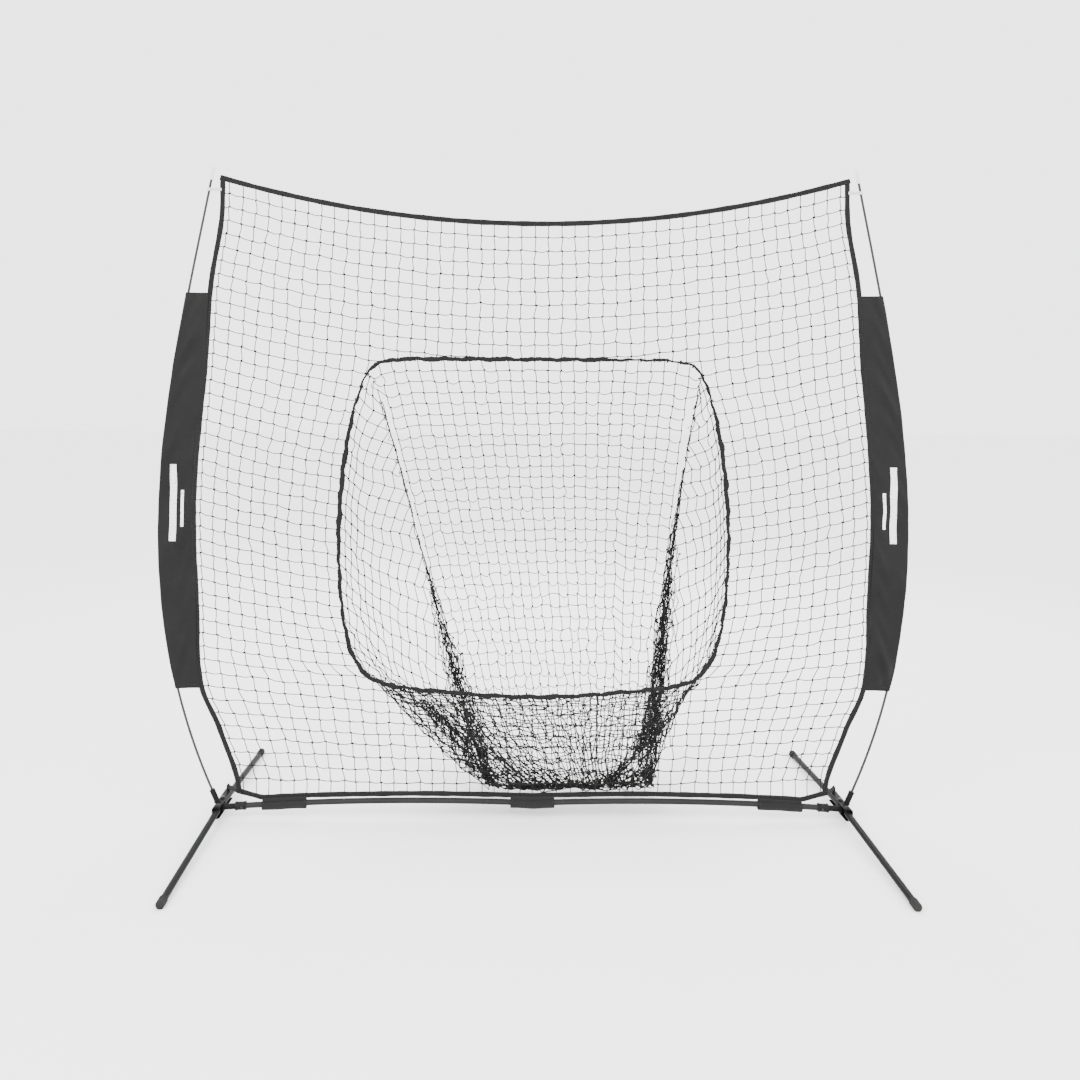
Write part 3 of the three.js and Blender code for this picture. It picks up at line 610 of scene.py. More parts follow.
def edge_x(height):
    """The net's side edge: a gap inside the pole, drawn in to the corner at the bottom."""
    share = (height - NET_BOTTOM) / (NET_TOP - NET_BOTTOM)
    gap = smooth_through(*zip(*EDGE_GAPS), share)
    pull = max(0.0, 1 - share / 0.1) ** 2
    free = bow_x(max(height, BOW_POINTS[0][2])) - gap
    return free + (BOTTOM_CORNER - free) * pull


TOP_CORNER = edge_x(NET_TOP)
edge_heights = np.linspace(0.04, NET_TOP + 0.03, 400)
edge_table = np.array([edge_x(z) for z in edge_heights])


def side_edge(z):
    return np.interp(z, edge_heights, edge_table)


def top_edge(x):
    return NET_TOP - TOP_SAG * (1 - (np.asarray(x) / TOP_CORNER) ** 2)


def bottom_edge(x):
    far = np.abs(np.asarray(x, float))
    base = base_height(np.minimum(far, HEM_HELD))
    rise = np.maximum(0, (far - HEM_HELD) / (BOTTOM_CORNER - HEM_HELD))
    return base + HEM_RISE + (NET_BOTTOM - base - HEM_RISE) * rise


def measured(line):
    """A line of points, and how far along it each of them is."""
    return line, np.concatenate([[0], np.cumsum(np.linalg.norm(np.diff(line, axis=0), axis=1))])


def units(vectors):
    return vectors / np.linalg.norm(vectors, axis=1, keepdims=True)


def curve_through(points, steps=12, closed=False):
    """A dense smooth line through points, measured."""
    points = np.array(points, float)
    padded = (np.vstack([points[-1], points, points[0], points[1]]) if closed else
              np.vstack([2 * points[0] - points[1], points, 2 * points[-1] - points[-2]]))
    line = []
    for i in range(1, len(padded) - 2):
        knots = np.cumsum([0] + [math.sqrt(max(np.linalg.norm(b - a), 1e-9))
                                 for a, b in zip(padded[i - 1:i + 2], padded[i:i + 3])])
        p0, p1, p2, p3 = padded[i - 1:i + 3]
        for t in np.linspace(knots[1], knots[2], steps, endpoint=False):
            a1 = p0 + (p1 - p0) * (t - knots[0]) / (knots[1] - knots[0])
            a2 = p1 + (p2 - p1) * (t - knots[1]) / (knots[2] - knots[1])
            a3 = p2 + (p3 - p2) * (t - knots[2]) / (knots[3] - knots[2])
            b1 = a1 + (a2 - a1) * (t - knots[0]) / (knots[2] - knots[0])
            b2 = a2 + (a3 - a2) * (t - knots[1]) / (knots[3] - knots[1])
            line.append(b1 + (b2 - b1) * (t - knots[1]) / (knots[2] - knots[1]))
    line.append(padded[-2])
    return measured(np.array(line))


def along(route, distance):
    line, lengths = route
    return np.stack([np.interp(distance, lengths, line[:, k]) for k in range(3)], axis=-1)


def rim_point(pair, side):
    return point(side * pair[0] * OPENING_HALF, 0, OPENING_LOW + pair[1] * (OPENING_HIGH - OPENING_LOW))


# Clockwise from the middle of the top, as the thrower sees it.
rim_route = curve_through([rim_point(pair, 1) for pair in OPENING_OUTLINE]
                          + [rim_point(pair, -1) for pair in OPENING_OUTLINE[-2:0:-1]], closed=True)
rim_length = rim_route[1][-1]
rim_outline = rim_route[0][:-1, [0, 2]]


def in_opening(x, z):
    """Which points are inside the opening."""
    a, b = rim_outline, np.roll(rim_outline, -1, axis=0)
    x, z = np.asarray(x)[..., None], np.asarray(z)[..., None]
    spans = (a[:, 1] > z) != (b[:, 1] > z)
    rise = np.where(b[:, 1] == a[:, 1], 1e-9, b[:, 1] - a[:, 1])
    crossing = spans & (x < a[:, 0] + (z - a[:, 1]) * (b[:, 0] - a[:, 0]) / rise)
    return crossing.sum(-1) % 2 == 1


def twine_tubes(starts, ends, slack, steps=2, radius=TWINE, sides=5):
    """Strands between knots, each a short closed tube that bows by its slack at its middle."""
    starts, ends, slack = (np.asarray(a, float) for a in (starts, ends, slack))
    chord = ends - starts
    length = np.linalg.norm(chord, axis=1, keepdims=True)
    direction = chord / np.maximum(length, 1e-6)
    guide = np.where(np.abs(direction[:, 1:2]) < 0.7, [[0.0, 1.0, 0.0]], [[1.0, 0.0, 0.0]])
    side = units(guide - direction * (guide * direction).sum(1, keepdims=True))
    up = np.cross(direction, side)
    t = np.linspace(0, 1, steps + 1)[None, :, None]
    centre = starts[:, None] + chord[:, None] * t + slack[:, None] * 4 * t * (1 - t)
    angle = 2 * math.pi * np.arange(sides) / sides
    ring = np.cos(angle)[:, None] * side[:, None] + np.sin(angle)[:, None] * up[:, None]
    verts = (centre[:, :, None] + radius * ring[:, None]).reshape(-1, 3)
    first = (np.arange(len(starts)) * (steps + 1) * sides)[:, None, None]
    row = (np.arange(steps) * sides)[None, :, None]
    k = np.arange(sides)[None, None]
    a, b = first + row + k, first + row + (k + 1) % sides
    walls = np.stack([a, b, b + sides, a + sides], -1).reshape(-1, 4)
    last = first[:, 0] + steps * sides
    caps = np.vstack([first[:, 0] + np.arange(sides)[::-1], last + np.arange(sides)])
    return verts.tolist(), walls.tolist() + caps.tolist()


def knot_shape():
    """A weaver's knot as a small lump with two wound grooves."""
    golden = (1 + math.sqrt(5)) / 2
    corners = [unit(np.array(v, float)) for v in (
        (-1, golden, 0), (1, golden, 0), (-1, -golden, 0), (1, -golden, 0),
        (0, -1, golden), (0, 1, golden), (0, -1, -golden), (0, 1, -golden),
        (golden, 0, -1), (golden, 0, 1), (-golden, 0, -1), (-golden, 0, 1))]
    faces = [(a, b, c) for a in range(12) for b in range(a + 1, 12) for c in range(b + 1, 12)
             if all(np.linalg.norm(corners[i] - corners[j]) < 1.1 for i, j in ((a, b), (b, c), (a, c)))]
    faces = [f if np.dot(np.cross(corners[f[1]] - corners[f[0]], corners[f[2]] - corners[f[0]]),
                         corners[f[0]]) > 0 else f[::-1] for f in faces]
    middles, finer = {}, []
    for face in faces:
        new = []
        for i, j in zip(face, face[1:] + face[:1]):
            key = (min(i, j), max(i, j))
            if key not in middles:
                middles[key] = len(corners)
                corners.append(unit(corners[i] + corners[j]))
            new.append(middles[key])
        a, b, c = face
        finer += [(a, new[0], new[2]), (b, new[1], new[0]), (c, new[2], new[1]), tuple(new)]
    shape = np.array(corners)
    wound = 1 + 0.2 * np.cos(5 * np.arctan2(shape[:, 1], shape[:, 0]) + 4 * shape[:, 2])
    return shape * wound[:, None] * [1.5, 0.85, 0.85], np.array(finer)


KNOT_VERTS, KNOT_FACES = knot_shape()


def knot_lumps(places, tilt, size=KNOT):
    """Knots at places, lying along X, each turned its own way; a greater tilt lets them lie more freely."""
    places = np.asarray(places, float)
    turns = rng.normal(size=(len(places), 4)) * [1, 1, tilt, tilt]
    w, x, y, z = units(turns).T
    spin = np.stack([1 - 2 * (y * y + z * z), 2 * (x * y - z * w), 2 * (x * z + y * w),
                     2 * (x * y + z * w), 1 - 2 * (x * x + z * z), 2 * (y * z - x * w),
                     2 * (x * z - y * w), 2 * (y * z + x * w), 1 - 2 * (x * x + y * y)], -1).reshape(-1, 3, 3)
    scale = size * rng.uniform(0.88, 1.14, len(places))[:, None, None]
    verts = places[:, None] + scale * np.einsum("nij,vj->nvi", spin, KNOT_VERTS)
    faces = KNOT_FACES[None] + (np.arange(len(places)) * len(KNOT_VERTS))[:, None, None]
    return verts.reshape(-1, 3).tolist(), faces.reshape(-1, 3).tolist()


# Tarred polyester: a fine twist, dusty where it has been handled.
twine_finish, shader, place = mottled("black twine", 14.0, grey(0.007), grey(0.018, 0.02), 0.62, 0.2,
                                      Sheen_Weight=0.02, Specular_IOR_Level=0.06)
fibre = place.node("TexWave", {"bands_direction": "DIAGONAL"},
                   {"Vector": place, "Scale": 420.0, "Distortion": 2.0, "Detail": 1.0}, 1)
bump(shader, fibre, 0.5, 0.0004)
COLUMNS, ROWS = 23, 46
UNEVENNESS = (0.0019, 0.0022, 0.0019)
LEAST_END = 0.014
SHARED = 12
sag_rows, sag_depths = (0, 18, 33, 42, 46), (0.150, 0.165, 0.120, 0.031, 0.013)
column_heights = (0.08, 0.48, 0.525, 0.70, 0.985, 1.25, 1.546, 2.181)
column_reaches = (0.510, 0.545, 0.594, 0.646, 0.668, 0.640, 0.566, 0.544)


def net_point(column, row):
    """Where a knot of the front net is; columns count from the middle and rows from the top."""
    reach = np.abs(column) / (COLUMNS + 0.5)
    z = NET_TOP - MESH * row - np.interp(row, sag_rows, sag_depths) * (1 - reach ** 2)
    twelfth = np.interp(z, column_heights, column_reaches)
    outer = twelfth + (side_edge(z) - twelfth) * (np.abs(column) - SHARED) / (COLUMNS + 0.5 - SHARED)
    x = np.where(np.abs(column) <= SHARED, column / SHARED * twelfth, np.sign(column) * outer)
    y = 0.005 * np.sin(2.3 * x + 1.1) * np.sin(2.9 * z) + 0.004 * np.sin(7.1 * x + 3.7 * z)
    return np.stack([x, y, z], -1)


column_grid, row_grid = np.meshgrid(np.arange(-COLUMNS, COLUMNS + 1), np.arange(1, ROWS), indexing="ij")
lattice = net_point(column_grid.astype(float), row_grid.astype(float))
edge_calm = np.minimum(1, np.minimum(COLUMNS + 0.5 - np.abs(column_grid), row_grid) / 3)[..., None]
lattice += rng.normal(0, 1, lattice.shape) * UNEVENNESS * edge_calm
lattice[..., 2] = np.maximum(lattice[..., 2], bottom_edge(lattice[..., 0]) + LEAST_END)
open_knot = in_opening(lattice[..., 0], lattice[..., 2])


def clipped(outside, inside):
    """The strand's end where it meets the rim of the opening."""
    outside, inside = outside.copy(), inside.copy()
    for _ in range(14):
        middle = (outside + inside) / 2
        within = in_opening(middle[:, 0], middle[:, 2])[:, None]
        inside, outside = np.where(within, middle, inside), np.where(within, outside, middle)
    return outside


def net_strands(a, b, a_open, b_open):
    """Pairs of strand ends outside the opening."""
    a, b = a.reshape(-1, 3), b.reshape(-1, 3)
    a_open, b_open = a_open.ravel(), b_open.ravel()
    whole = ~a_open & ~b_open
    leaves, enters = ~a_open & b_open, a_open & ~b_open
    starts = np.vstack([a[whole], a[leaves], b[enters]])
    ends = np.vstack([b[whole], clipped(a[leaves], b[leaves]), clipped(b[enters], a[enters])])
    return starts, ends


across_strands = net_strands(lattice[:-1], lattice[1:], open_knot[:-1], open_knot[1:])
# A knot's two upright strands lie side by side in it, so each line of them steps sideways at every knot.
knot_step = np.where(column_grid % 2 == 0, KNOT_STEP, -KNOT_STEP)[..., None] * point(1, 0, 0)
leaving, entering = lattice + knot_step, lattice - knot_step
down_strands = net_strands(leaving[:, :-1], entering[:, 1:], open_knot[:, :-1], open_knot[:, 1:])
BINDING_HALF = 0.0088


def edge_strands():
    """The last half-mesh all round, which runs into the bindings."""
    starts, ends = [], []
    half = BINDING_HALF / 2
    for knots_at, axis, edge in ((lattice[0], 0, half - side_edge(lattice[0, :, 2])),
                                 (lattice[-1], 0, side_edge(lattice[-1, :, 2]) - half),
                                 (lattice[:, 0], 2, top_edge(lattice[:, 0, 0]) - half),
                                 (lattice[:, -1], 2, bottom_edge(lattice[:, -1, 0]) + half)):
        target = knots_at.copy()
        target[:, 1] = 0
        target[:, axis] = edge
        starts.append(knots_at)
        ends.append(target)
    return np.vstack(starts), np.vstack(ends)


def slack_of(starts, ends, droop):
    """A little wander, and gravity on what lies level."""
    wander = rng.normal(0, 0.0011, starts.shape)
    level = np.abs(ends - starts)[:, :1] / (np.linalg.norm(ends - starts, axis=1, keepdims=True) + 1e-9)
    return wander - level * [[0, 0, droop]]


tubes = [twine_tubes(starts, ends, slack_of(starts, ends, 0.0022))
         for starts, ends in (across_strands, down_strands, edge_strands())]
add_piece("front_net", joined(*tubes), twine_finish, "netting", "frame", "net_panel", crease=NO_CREASE)
add_piece("front_net_knots", knot_lumps(lattice[~open_knot], 0.22), twine_finish, "netting", "frame",
          crease=NO_CREASE)


# ---- Rim of the opening ----
# A soft black rope that the net and the pocket are both lashed to. The lashing bites once a mesh, and
# between bites the gathered netting swells it unevenly.
def nylon_weave(name, dark, light, roughness, pitch, depth, sheen=0.02):
    """Woven nylon: fine crossed threads, a soft sheen and a rubbed, dusty cast."""
    material, shader, place = start_finish(name, Sheen_Weight=sheen, Sheen_Roughness=0.4,
                                           Specular_IOR_Level=0.06)
    x, y, z = place.axes()
    pitch_turn = 2 * math.pi / pitch
    thread = ((x + y * 0.6) * pitch_turn).sine() * (z * pitch_turn).sine()
    cast = noise(place, 6.0, 4.0)
    worn = noise(place, 130.0, 2.0)
    colour = cast.between(grey(dark), grey(light, 0.01))
    feed(shader, "Base Color", (thread * 0.12 + worn * 0.25).between(colour, grey(light * 1.7, 0.01)))
    feed(shader, "Roughness", worn * 0.2 + (roughness - 0.08))
    bump(shader, thread * 0.7 + worn, depth, 0.0004)
    return material


webbing = nylon_weave("black webbing", 0.006, 0.012, 0.72, 0.0016, 0.5)
RIM_RADIUS = 0.0062
rim_distances = np.linspace(0, rim_length, 720, endpoint=False)
meshes_round = round(rim_length / MESH)
bite = np.cos(rim_distances / rim_length * meshes_round * 2 * math.pi)
swell = sum(np.sin(2 * math.pi * rim_distances / rim_length * turns + phase) * size
            for turns, phase, size in ((23, 0.4, 0.5), (41, 2.2, 0.7), (67, 4.0, 0.6), (97, 1.0, 0.4)))
gathers = ((0, 0.5), (0.045, 1), (0.07, -0.9), (0.15, -1), (0.18, 0.9), (0.23, 0.9), (0.27, -0.2), (0.34, 0),
           (0.36, 1), (0.40, 0.3), (0.46, 0.4), (0.5, 1), (0.54, 0.4), (0.6, 0.2), (0.64, 1), (0.68, 0),
           (0.73, 0.2), (0.75, 1.2), (0.81, 1.2), (0.84, -0.6), (0.87, -1), (0.89, 0.8), (0.98, 1), (1, 0.5))
gathered = np.interp(rim_distances / rim_length, *zip(*gathers))
rim_radii = RIM_RADIUS + 0.0011 * swell + 0.0021 * gathered - 0.0016 * np.maximum(bite, 0) ** 6
rim_radii = np.clip(rim_radii, 0.0030, 0.0102)


def rim_ahead(distance):
    """The way the rim runs at a distance round it."""
    before, after = (along(rim_route, (distance + step) % rim_length) for step in (-0.004, 0.004))
    return after - before


def rope_body(distances, radii, sides=14):
    """The rope as a closed ring, ovalled and grooved by its lashing."""
    centres = along(rim_route, distances)
    inwards = np.cross(units(rim_ahead(distances)), [0, 1, 0])
    angle = 2 * math.pi * np.arange(sides) / sides
    twist = 1 + 0.09 * np.sin(3 * angle[None] + distances[:, None] * 2 * math.pi / 0.016)
    reach = radii[:, None] * twist
    lift = 0.0016 * np.sin(distances * 61) + 0.001 * np.sin(distances * 143)
    verts = (centres[:, None] + inwards[:, None] * lift[:, None, None]
             + reach[..., None] * (np.cos(angle)[None, :, None] * inwards[:, None]
                                   + np.sin(angle)[None, :, None] * np.array([0, 1, 0])))
    faces = between_rings(len(distances), sides, closed=True)
    return verts.reshape(-1, 3), [(a, d, c, b) for a, b, c, d in faces]


add_piece("opening_rim", rope_body(rim_distances, rim_radii), webbing, "webbing", "frame", "opening_rope",
          crease=NO_CREASE)

LASH_PITCH, LASH_REACH = 0.0024, 0.0068
lashes = []
for distance in np.arange(meshes_round) / meshes_round * rim_length:
    for turn in range(3):
        at = distance + (turn - 1) * LASH_PITCH
        centre = along(rim_route, at % rim_length)
        ahead = unit(rim_ahead(at))
        inwards = np.cross(ahead, [0, 1, 0])
        reach = LASH_REACH + 0.0003 * turn
        lashes.append([centre + reach * (math.cos(a) * inwards + math.sin(a) * point(0, 1, 0))
                       + ahead * 0.0009 * math.sin(a) for a in np.linspace(0, 2 * math.pi, 13)[:-1]])
starts = np.vstack(lashes)
ends = np.vstack([np.roll(ring, -1, axis=0) for ring in lashes])
add_piece("opening_lashing", twine_tubes(starts, ends, 0 * starts, 1, 0.0009, 4), twine_finish, "netting",
          "frame", crease=NO_CREASE)


# ---- Pocket ----
# A second, slacker net behind the opening. Its back hangs from the top of the rim between two gathered
# seams; the sides run in to those seams, and everything bunches in a floor just above the ground.
SEAMS = {-1: ((-0.556, 0.010, 1.530), (-0.490, 0.170, 1.230), (-0.400, 0.310, 0.823), (-0.313, 0.360, 0.485),
              (-0.252, 0.350, 0.255), (-0.170, 0.235, 0.062)),
         1: ((0.573, 0.010, 1.512), (0.559, 0.150, 1.285), (0.539, 0.290, 0.939), (0.515, 0.350, 0.584),
             (0.486, 0.350, 0.274), (0.440, 0.235, 0.062))}
seams = {side: curve_through(points) for side, points in SEAMS.items()}
FLOOR_FRONT = {-1: point(-0.140, 0.115, 0.062), 1: point(0.420, 0.115, 0.062)}
QUARTER = 25
POCKET_MESH = 0.0450
RUNS_ON = {-1: 16, 1: 11}
LOWEST = 0.047
UNRULY = 0.0058


def seam_point(side, share):
    return along(seams[side], share * seams[side][1][-1])


def back_line(place):
    """A line of the back, its place 0 to 1 from the left seam to the right."""
    rim = along(rim_route, (place - 0.5) * rim_length / 4 % rim_length)
    line = []
    for share in np.linspace(0, 1, 16):
        flat = seam_point(-1, share) * (1 - place) + seam_point(1, share) * place
        corner = seam_point(-1, 0) * (1 - place) + seam_point(1, 0) * place
        belly = 4 * place * (1 - place) * math.sin(math.pi * share) ** 0.8
        fold = 0.010 * math.sin(23 * place + 5 * share) * share
        line.append(flat + (rim - corner) * (1 - share) ** 5 + point(0, 0.055 * belly + fold, -0.012 * belly))
    return curve_through(line, 6)


def side_line(side, step):
    """A line from the side of the rim in to the seam; the lower ones run on down with the gathers."""
    share = (step + 0.5) / QUARTER
    distance = (0.125 + 0.25 * share) * rim_length
    rim = along(rim_route, distance if side > 0 else rim_length - distance)
    seam_length = seams[side][1][-1]
    meets = 0.05 + (1.35 if side < 0 else 1.2) * share + 0.45 * share ** 2
    meets = min(meets, seam_length * (0.74 + 0.2 * share))
    start = along(seams[side], meets)
    bulge = point(side * 0.03 * math.sin(math.pi * share), 0.02, -0.03 * math.sin(math.pi * share))
    line = [rim, rim * 0.62 + start * 0.38 + bulge, rim * 0.25 + start * 0.75 + bulge * 0.5]
    if step < RUNS_ON[side]:
        line.append(start)
        return curve_through(line, 6)
    gather = step * 2.4
    spread = 0.012 + (0.030 if side > 0 else 0.022) * share
    for distance in np.arange(meets + 0.02, seam_length, 0.09):
        past = (distance - meets) / seam_length
        sway = point(math.cos(gather + 9 * past), math.sin(gather + 7 * past), 0.2 * math.sin(gather * 1.7))
        line.append(along(seams[side], distance) + sway * spread * (0.6 + past)
                    - point(side * 0.012, 0.015, 0))
    floor = seam_point(side, 1) * (1 - share) + FLOOR_FRONT[side] * share
    line.append(floor + point(side * 0.012 * math.sin(gather), 0.01 * math.cos(gather),
                              0.010 * math.sin(gather * 3) ** 2))
    return curve_through(line, 6)


def front_line(place):
    """A line of the front, from the bottom of the rim to the floor; places run right to left."""
    rim = along(rim_route, (0.375 + 0.25 * place) * rim_length)
    floor = FLOOR_FRONT[1] * (1 - place) + FLOOR_FRONT[-1] * place
    fold = 0.022 * math.sin(31 * place)
    line = [rim]
    for share in (0.25, 0.5, 0.75):
        hang = rim * (1 - share) + floor * share
        belly = math.sin(math.pi * share)
        line.append(hang + point(0.03 * math.sin(17 * place) * share, 0.055 * belly + fold * share,
                                 -0.045 * belly))
    line.append(floor)
    return curve_through(line, 6)


lines = [("back", back_line((step + 0.5) / QUARTER)) for step in range(QUARTER)]
lines += [("right", side_line(1, step)) for step in range(QUARTER)]
lines += [("front", front_line((step + 0.5) / QUARTER)) for step in range(QUARTER)]
lines += [("left", side_line(-1, step)) for step in reversed(range(QUARTER))]


def knots_on(route, unruly):
    """Knots one mesh apart, more unruly towards the floor."""
    length = route[1][-1]
    count = max(3, round(length / POCKET_MESH))
    places = along(route, np.linspace(0, length, count + 1))
    drop = np.clip((1.1 - places[:, 2:]) / 1.1, 0.15, 1)
    places[1:] += rng.normal(0, unruly, places[1:].shape) * drop[1:]
    places[:, 2] = np.maximum(places[:, 2], LOWEST)
    return places


pocket_knots = [(part, knots_on(route, 0.0038 if part == "front" else UNRULY)) for part, route in lines]


def hanging_slack(starts, ends, most):
    """What a mesh's twine has to spare between two knots hangs down and crumples."""
    chord = np.linalg.norm(ends - starts, axis=1)
    spare = np.sqrt(np.maximum(POCKET_MESH ** 2 - chord ** 2, 0)) / 2
    spare = np.minimum(spare, most)[:, None]
    way = units(rng.normal(0, 0.75, starts.shape) + [[0, 0, -0.9]])
    slack = way * spare + rng.normal(0, 0.001, starts.shape)
    low = (starts[:, 2] + ends[:, 2]) / 2 + slack[:, 2]
    slack[:, 2] += np.maximum(LOWEST - low, 0)
    return slack


strand_sets = {part: ([], []) for part in ("back", "right", "front", "left")}
knot_sets = {part: [] for part in strand_sets}


def add_strands(part, starts, ends):
    strand_sets[part][0].append(starts)
    strand_sets[part][1].append(ends)


def add_line(part, here, beside=None):
    """One line of twine and its knots, and the strands from them to the line beside it."""
    add_strands(part, here[:-1], here[1:])
    if beside is not None:
        shared = min(len(here), len(beside))
        add_strands(part, here[1:shared], beside[1:shared])
    knot_sets[part].append(here[1:])


for index, (part, here) in enumerate(pocket_knots):
    add_line(part, here, pocket_knots[(index + 1) % len(pocket_knots)][1])

# Slack of the front, tucked up behind it.
tucks = [knots_on(front_line((step + 0.95) / QUARTER), 0.0045) + point(0, 0.020, 0.008)
         for step in range(QUARTER)]
for here, beside in zip(tucks, tucks[1:] + [None]):
    add_line("front", here, beside)

# The floor joins each line of the back to the line of the front that it faces.
backs, fronts = ([places for part, places in pocket_knots if part == name] for name in ("back", "front"))
before = None
for rear, front in zip(backs, reversed(fronts)):
    crossing = np.linspace(rear[-1], front[-1], 5)
    crossing[1:-1] += rng.normal(0, 0.007, (3, 3))
    crossing[:, 2] = np.maximum(crossing[:, 2], LOWEST)
    add_strands("front", crossing[:-1], crossing[1:])
    if before is not None:
        add_strands("front", before[1:-1], crossing[1:-1])
    knot_sets["front"].append(crossing[1:-1])
    before = crossing


def bunch(part, route, count, narrow, wide, late=0.3):
    """Slack netting drawn up into folds along a route: strands that weave about it, knotted at every mesh. It
    spreads from its narrow start to its wide end, and a strand may join it late."""
    route = curve_through(route)
    length = route[1][-1]
    folds = []
    for _ in range(count):
        first = rng.uniform(0, late) * length
        steps = max(2, round((length - first) / POCKET_MESH))
        reach = np.linspace(first, length, steps + 1)
        weave = rng.normal(0, 0.85, 3) * [1, 1, 0.7] + rng.normal(0, 0.5, (steps + 1, 3))
        places = along(route, reach) + weave * np.interp(reach, (0, length), (narrow, wide))[:, None]
        places[:, 2] = np.maximum(places[:, 2], LOWEST)
        folds.append(places)
        add_line(part, places)
    for one, two in zip(folds, folds[1:]):
        shared = min(len(one), len(two))
        one, two = one[-shared:], two[-shared:]
        near = np.linalg.norm(one - two, axis=1) < POCKET_MESH
        add_strands(part, one[near], two[near])


bunch("left", (point(-0.40, 0.03, 0.42), point(-0.27, 0.12, 0.23), point(-0.19, 0.15, 0.10),
               point(-0.13, 0.15, 0.065)), 15, 0.012, 0.024)
bunch("left", [seam_point(-1, share) for share in (0.45, 0.6, 0.7, 0.8, 0.9, 0.96)], 20, 0.003, 0.030, 0.65)
bunch("front", (point(-0.165, 0.13, 0.08), point(-0.05, 0.12, 0.062), point(0.10, 0.13, 0.056),
                point(0.24, 0.13, 0.056)), 15, 0.018, 0.014)
bunch("front", (point(0.24, 0.14, 0.058), point(0.34, 0.14, 0.075), point(0.43, 0.15, 0.085)), 9,
      0.014, 0.018)
bunch("right", [seam_point(1, share) for share in (0.25, 0.4, 0.55, 0.7, 0.92)], 20, 0.002, 0.026, 0.65)
bunch("right", (point(0.46, 0.03, 0.43), point(0.40, 0.09, 0.25), point(0.33, 0.13, 0.12),
                point(0.27, 0.14, 0.065)), 11, 0.018, 0.014)
for side, part in ((-1, "left"), (1, "right")):
    bunch(part, [seam_point(side, share) for share in np.linspace(0.01, 0.62, 7)], 2, 0.0016, 0.004)
for part, (starts, ends) in strand_sets.items():
    starts, ends = np.vstack(starts), np.vstack(ends)
    thick, most = (TWINE * 1.2, 0.010) if part == "front" else (TWINE, 0.014)
    tubes = twine_tubes(starts, ends, hanging_slack(starts, ends, most), 4, thick)
    lumps = knot_lumps(np.vstack(knot_sets[part]), 0.7)
    piece = add_piece(f"pocket_{part}", joined(tubes, lumps), twine_finish, "netting", "frame",
                      crease=NO_CREASE)
    if part == "back":
        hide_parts("pocket_net")


# ---- Bindings ----
# Black webbing folded over the net's four edges and sewn through with two rows of stitches.
BINDING_THICK = 0.0032
STITCH_PITCH = 0.006
STITCH_ROWS = (-0.0052, 0.0052)
STITCH_DEPTH = 0.78
STITCH_LENGTH, STITCH_WIDTH = 0.0036, 0.00042


def lengthwise(points, step):
    """Points evenly apart on a line, and the unit vectors ahead and across in its plane."""
    route = measured(np.array(points, float))
    length = route[1][-1]
    distances = np.linspace(0, length, max(2, round(length / step)) + 1)
    centres = along(route, distances)
    ahead = units(np.gradient(centres, axis=0))
    return distances, centres, ahead, np.cross(ahead, [0, 1, 0])


def ripple(distances, phase):
    """How far a binding strays from the net's plane."""
    return 0.0014 * np.sin(distances * 5.3 + phase) + 0.0007 * np.sin(distances * 17.1 + 2 * phase)


def binding_mesh(points, phase):
    """A folded tape, pinched where each stitch pulls it down."""
    distances, centres, _, across = lengthwise(points, STITCH_PITCH / 3)
    half = BINDING_HALF + 0.0004 * np.sin(distances * 37 + phase) + 0.0003 * np.sin(distances * 91)
    pinch = 0.5 + 0.5 * np.cos(2 * math.pi * distances / STITCH_PITCH)
    # The fold and the two stitched grooves, as shares of the half width and half thickness.
    section = ((-1, 0.30), (-0.94, 0.78), (-0.80, 0.98), (-0.65, 0.70), (-0.48, 1.0), (0, 1.06), (0.48, 1.0),
               (0.65, 0.70), (0.80, 0.98), (0.94, 0.78), (1, 0.30))
    outline = list(section) + [(s, -t) for s, t in reversed(section)]
    lift = ripple(distances, phase)
    rings = []
    for s, t in outline:
        low = np.where(abs(abs(s) - 0.65) < 0.01, 0.86 - 0.28 * pinch, 1.0)
        rings.append(centres + across * (half * s)[:, None]
                     + np.outer(lift + BINDING_THICK / 2 * t * low, [0, 1, 0]))
    verts = np.stack(rings, 1)
    count, around = verts.shape[:2]
    return verts.reshape(-1, 3), between_rings(count, around) + round_ends(count, around)


def stitch_mesh(centres, ahead, face):
    """Stitches as small spindles lying on the front or back face of the cloth."""
    out = np.tile([0.0, face, 0.0], (len(centres), 1))
    long = np.broadcast_to(ahead, centres.shape) * STITCH_LENGTH / 2
    wide = np.cross(ahead, out) * STITCH_WIDTH
    shape = [centres - long, centres + wide, centres + out * STITCH_WIDTH * 1.3, centres - wide,
             centres - out * STITCH_WIDTH, centres + long]
    spindle = ((0, 2, 1), (0, 3, 2), (0, 4, 3), (0, 1, 4), (5, 1, 2), (5, 2, 3), (5, 3, 4), (5, 4, 1))
    faces = [tuple(6 * i + c for c in f) for i in range(len(centres)) for f in spindle]
    return np.stack(shape, 1).reshape(-1, 3), faces


def binding_stitches(points, phase):
    distances, centres, ahead, across = lengthwise(points, STITCH_PITCH)
    made = []
    for row in STITCH_ROWS:
        for face in (-1, 1):
            rise = np.outer(ripple(distances, phase) + face * BINDING_THICK / 2 * STITCH_DEPTH, [0, 1, 0])
            made.append(stitch_mesh(centres + across * row + rise, ahead, face))
    return joined(*made)


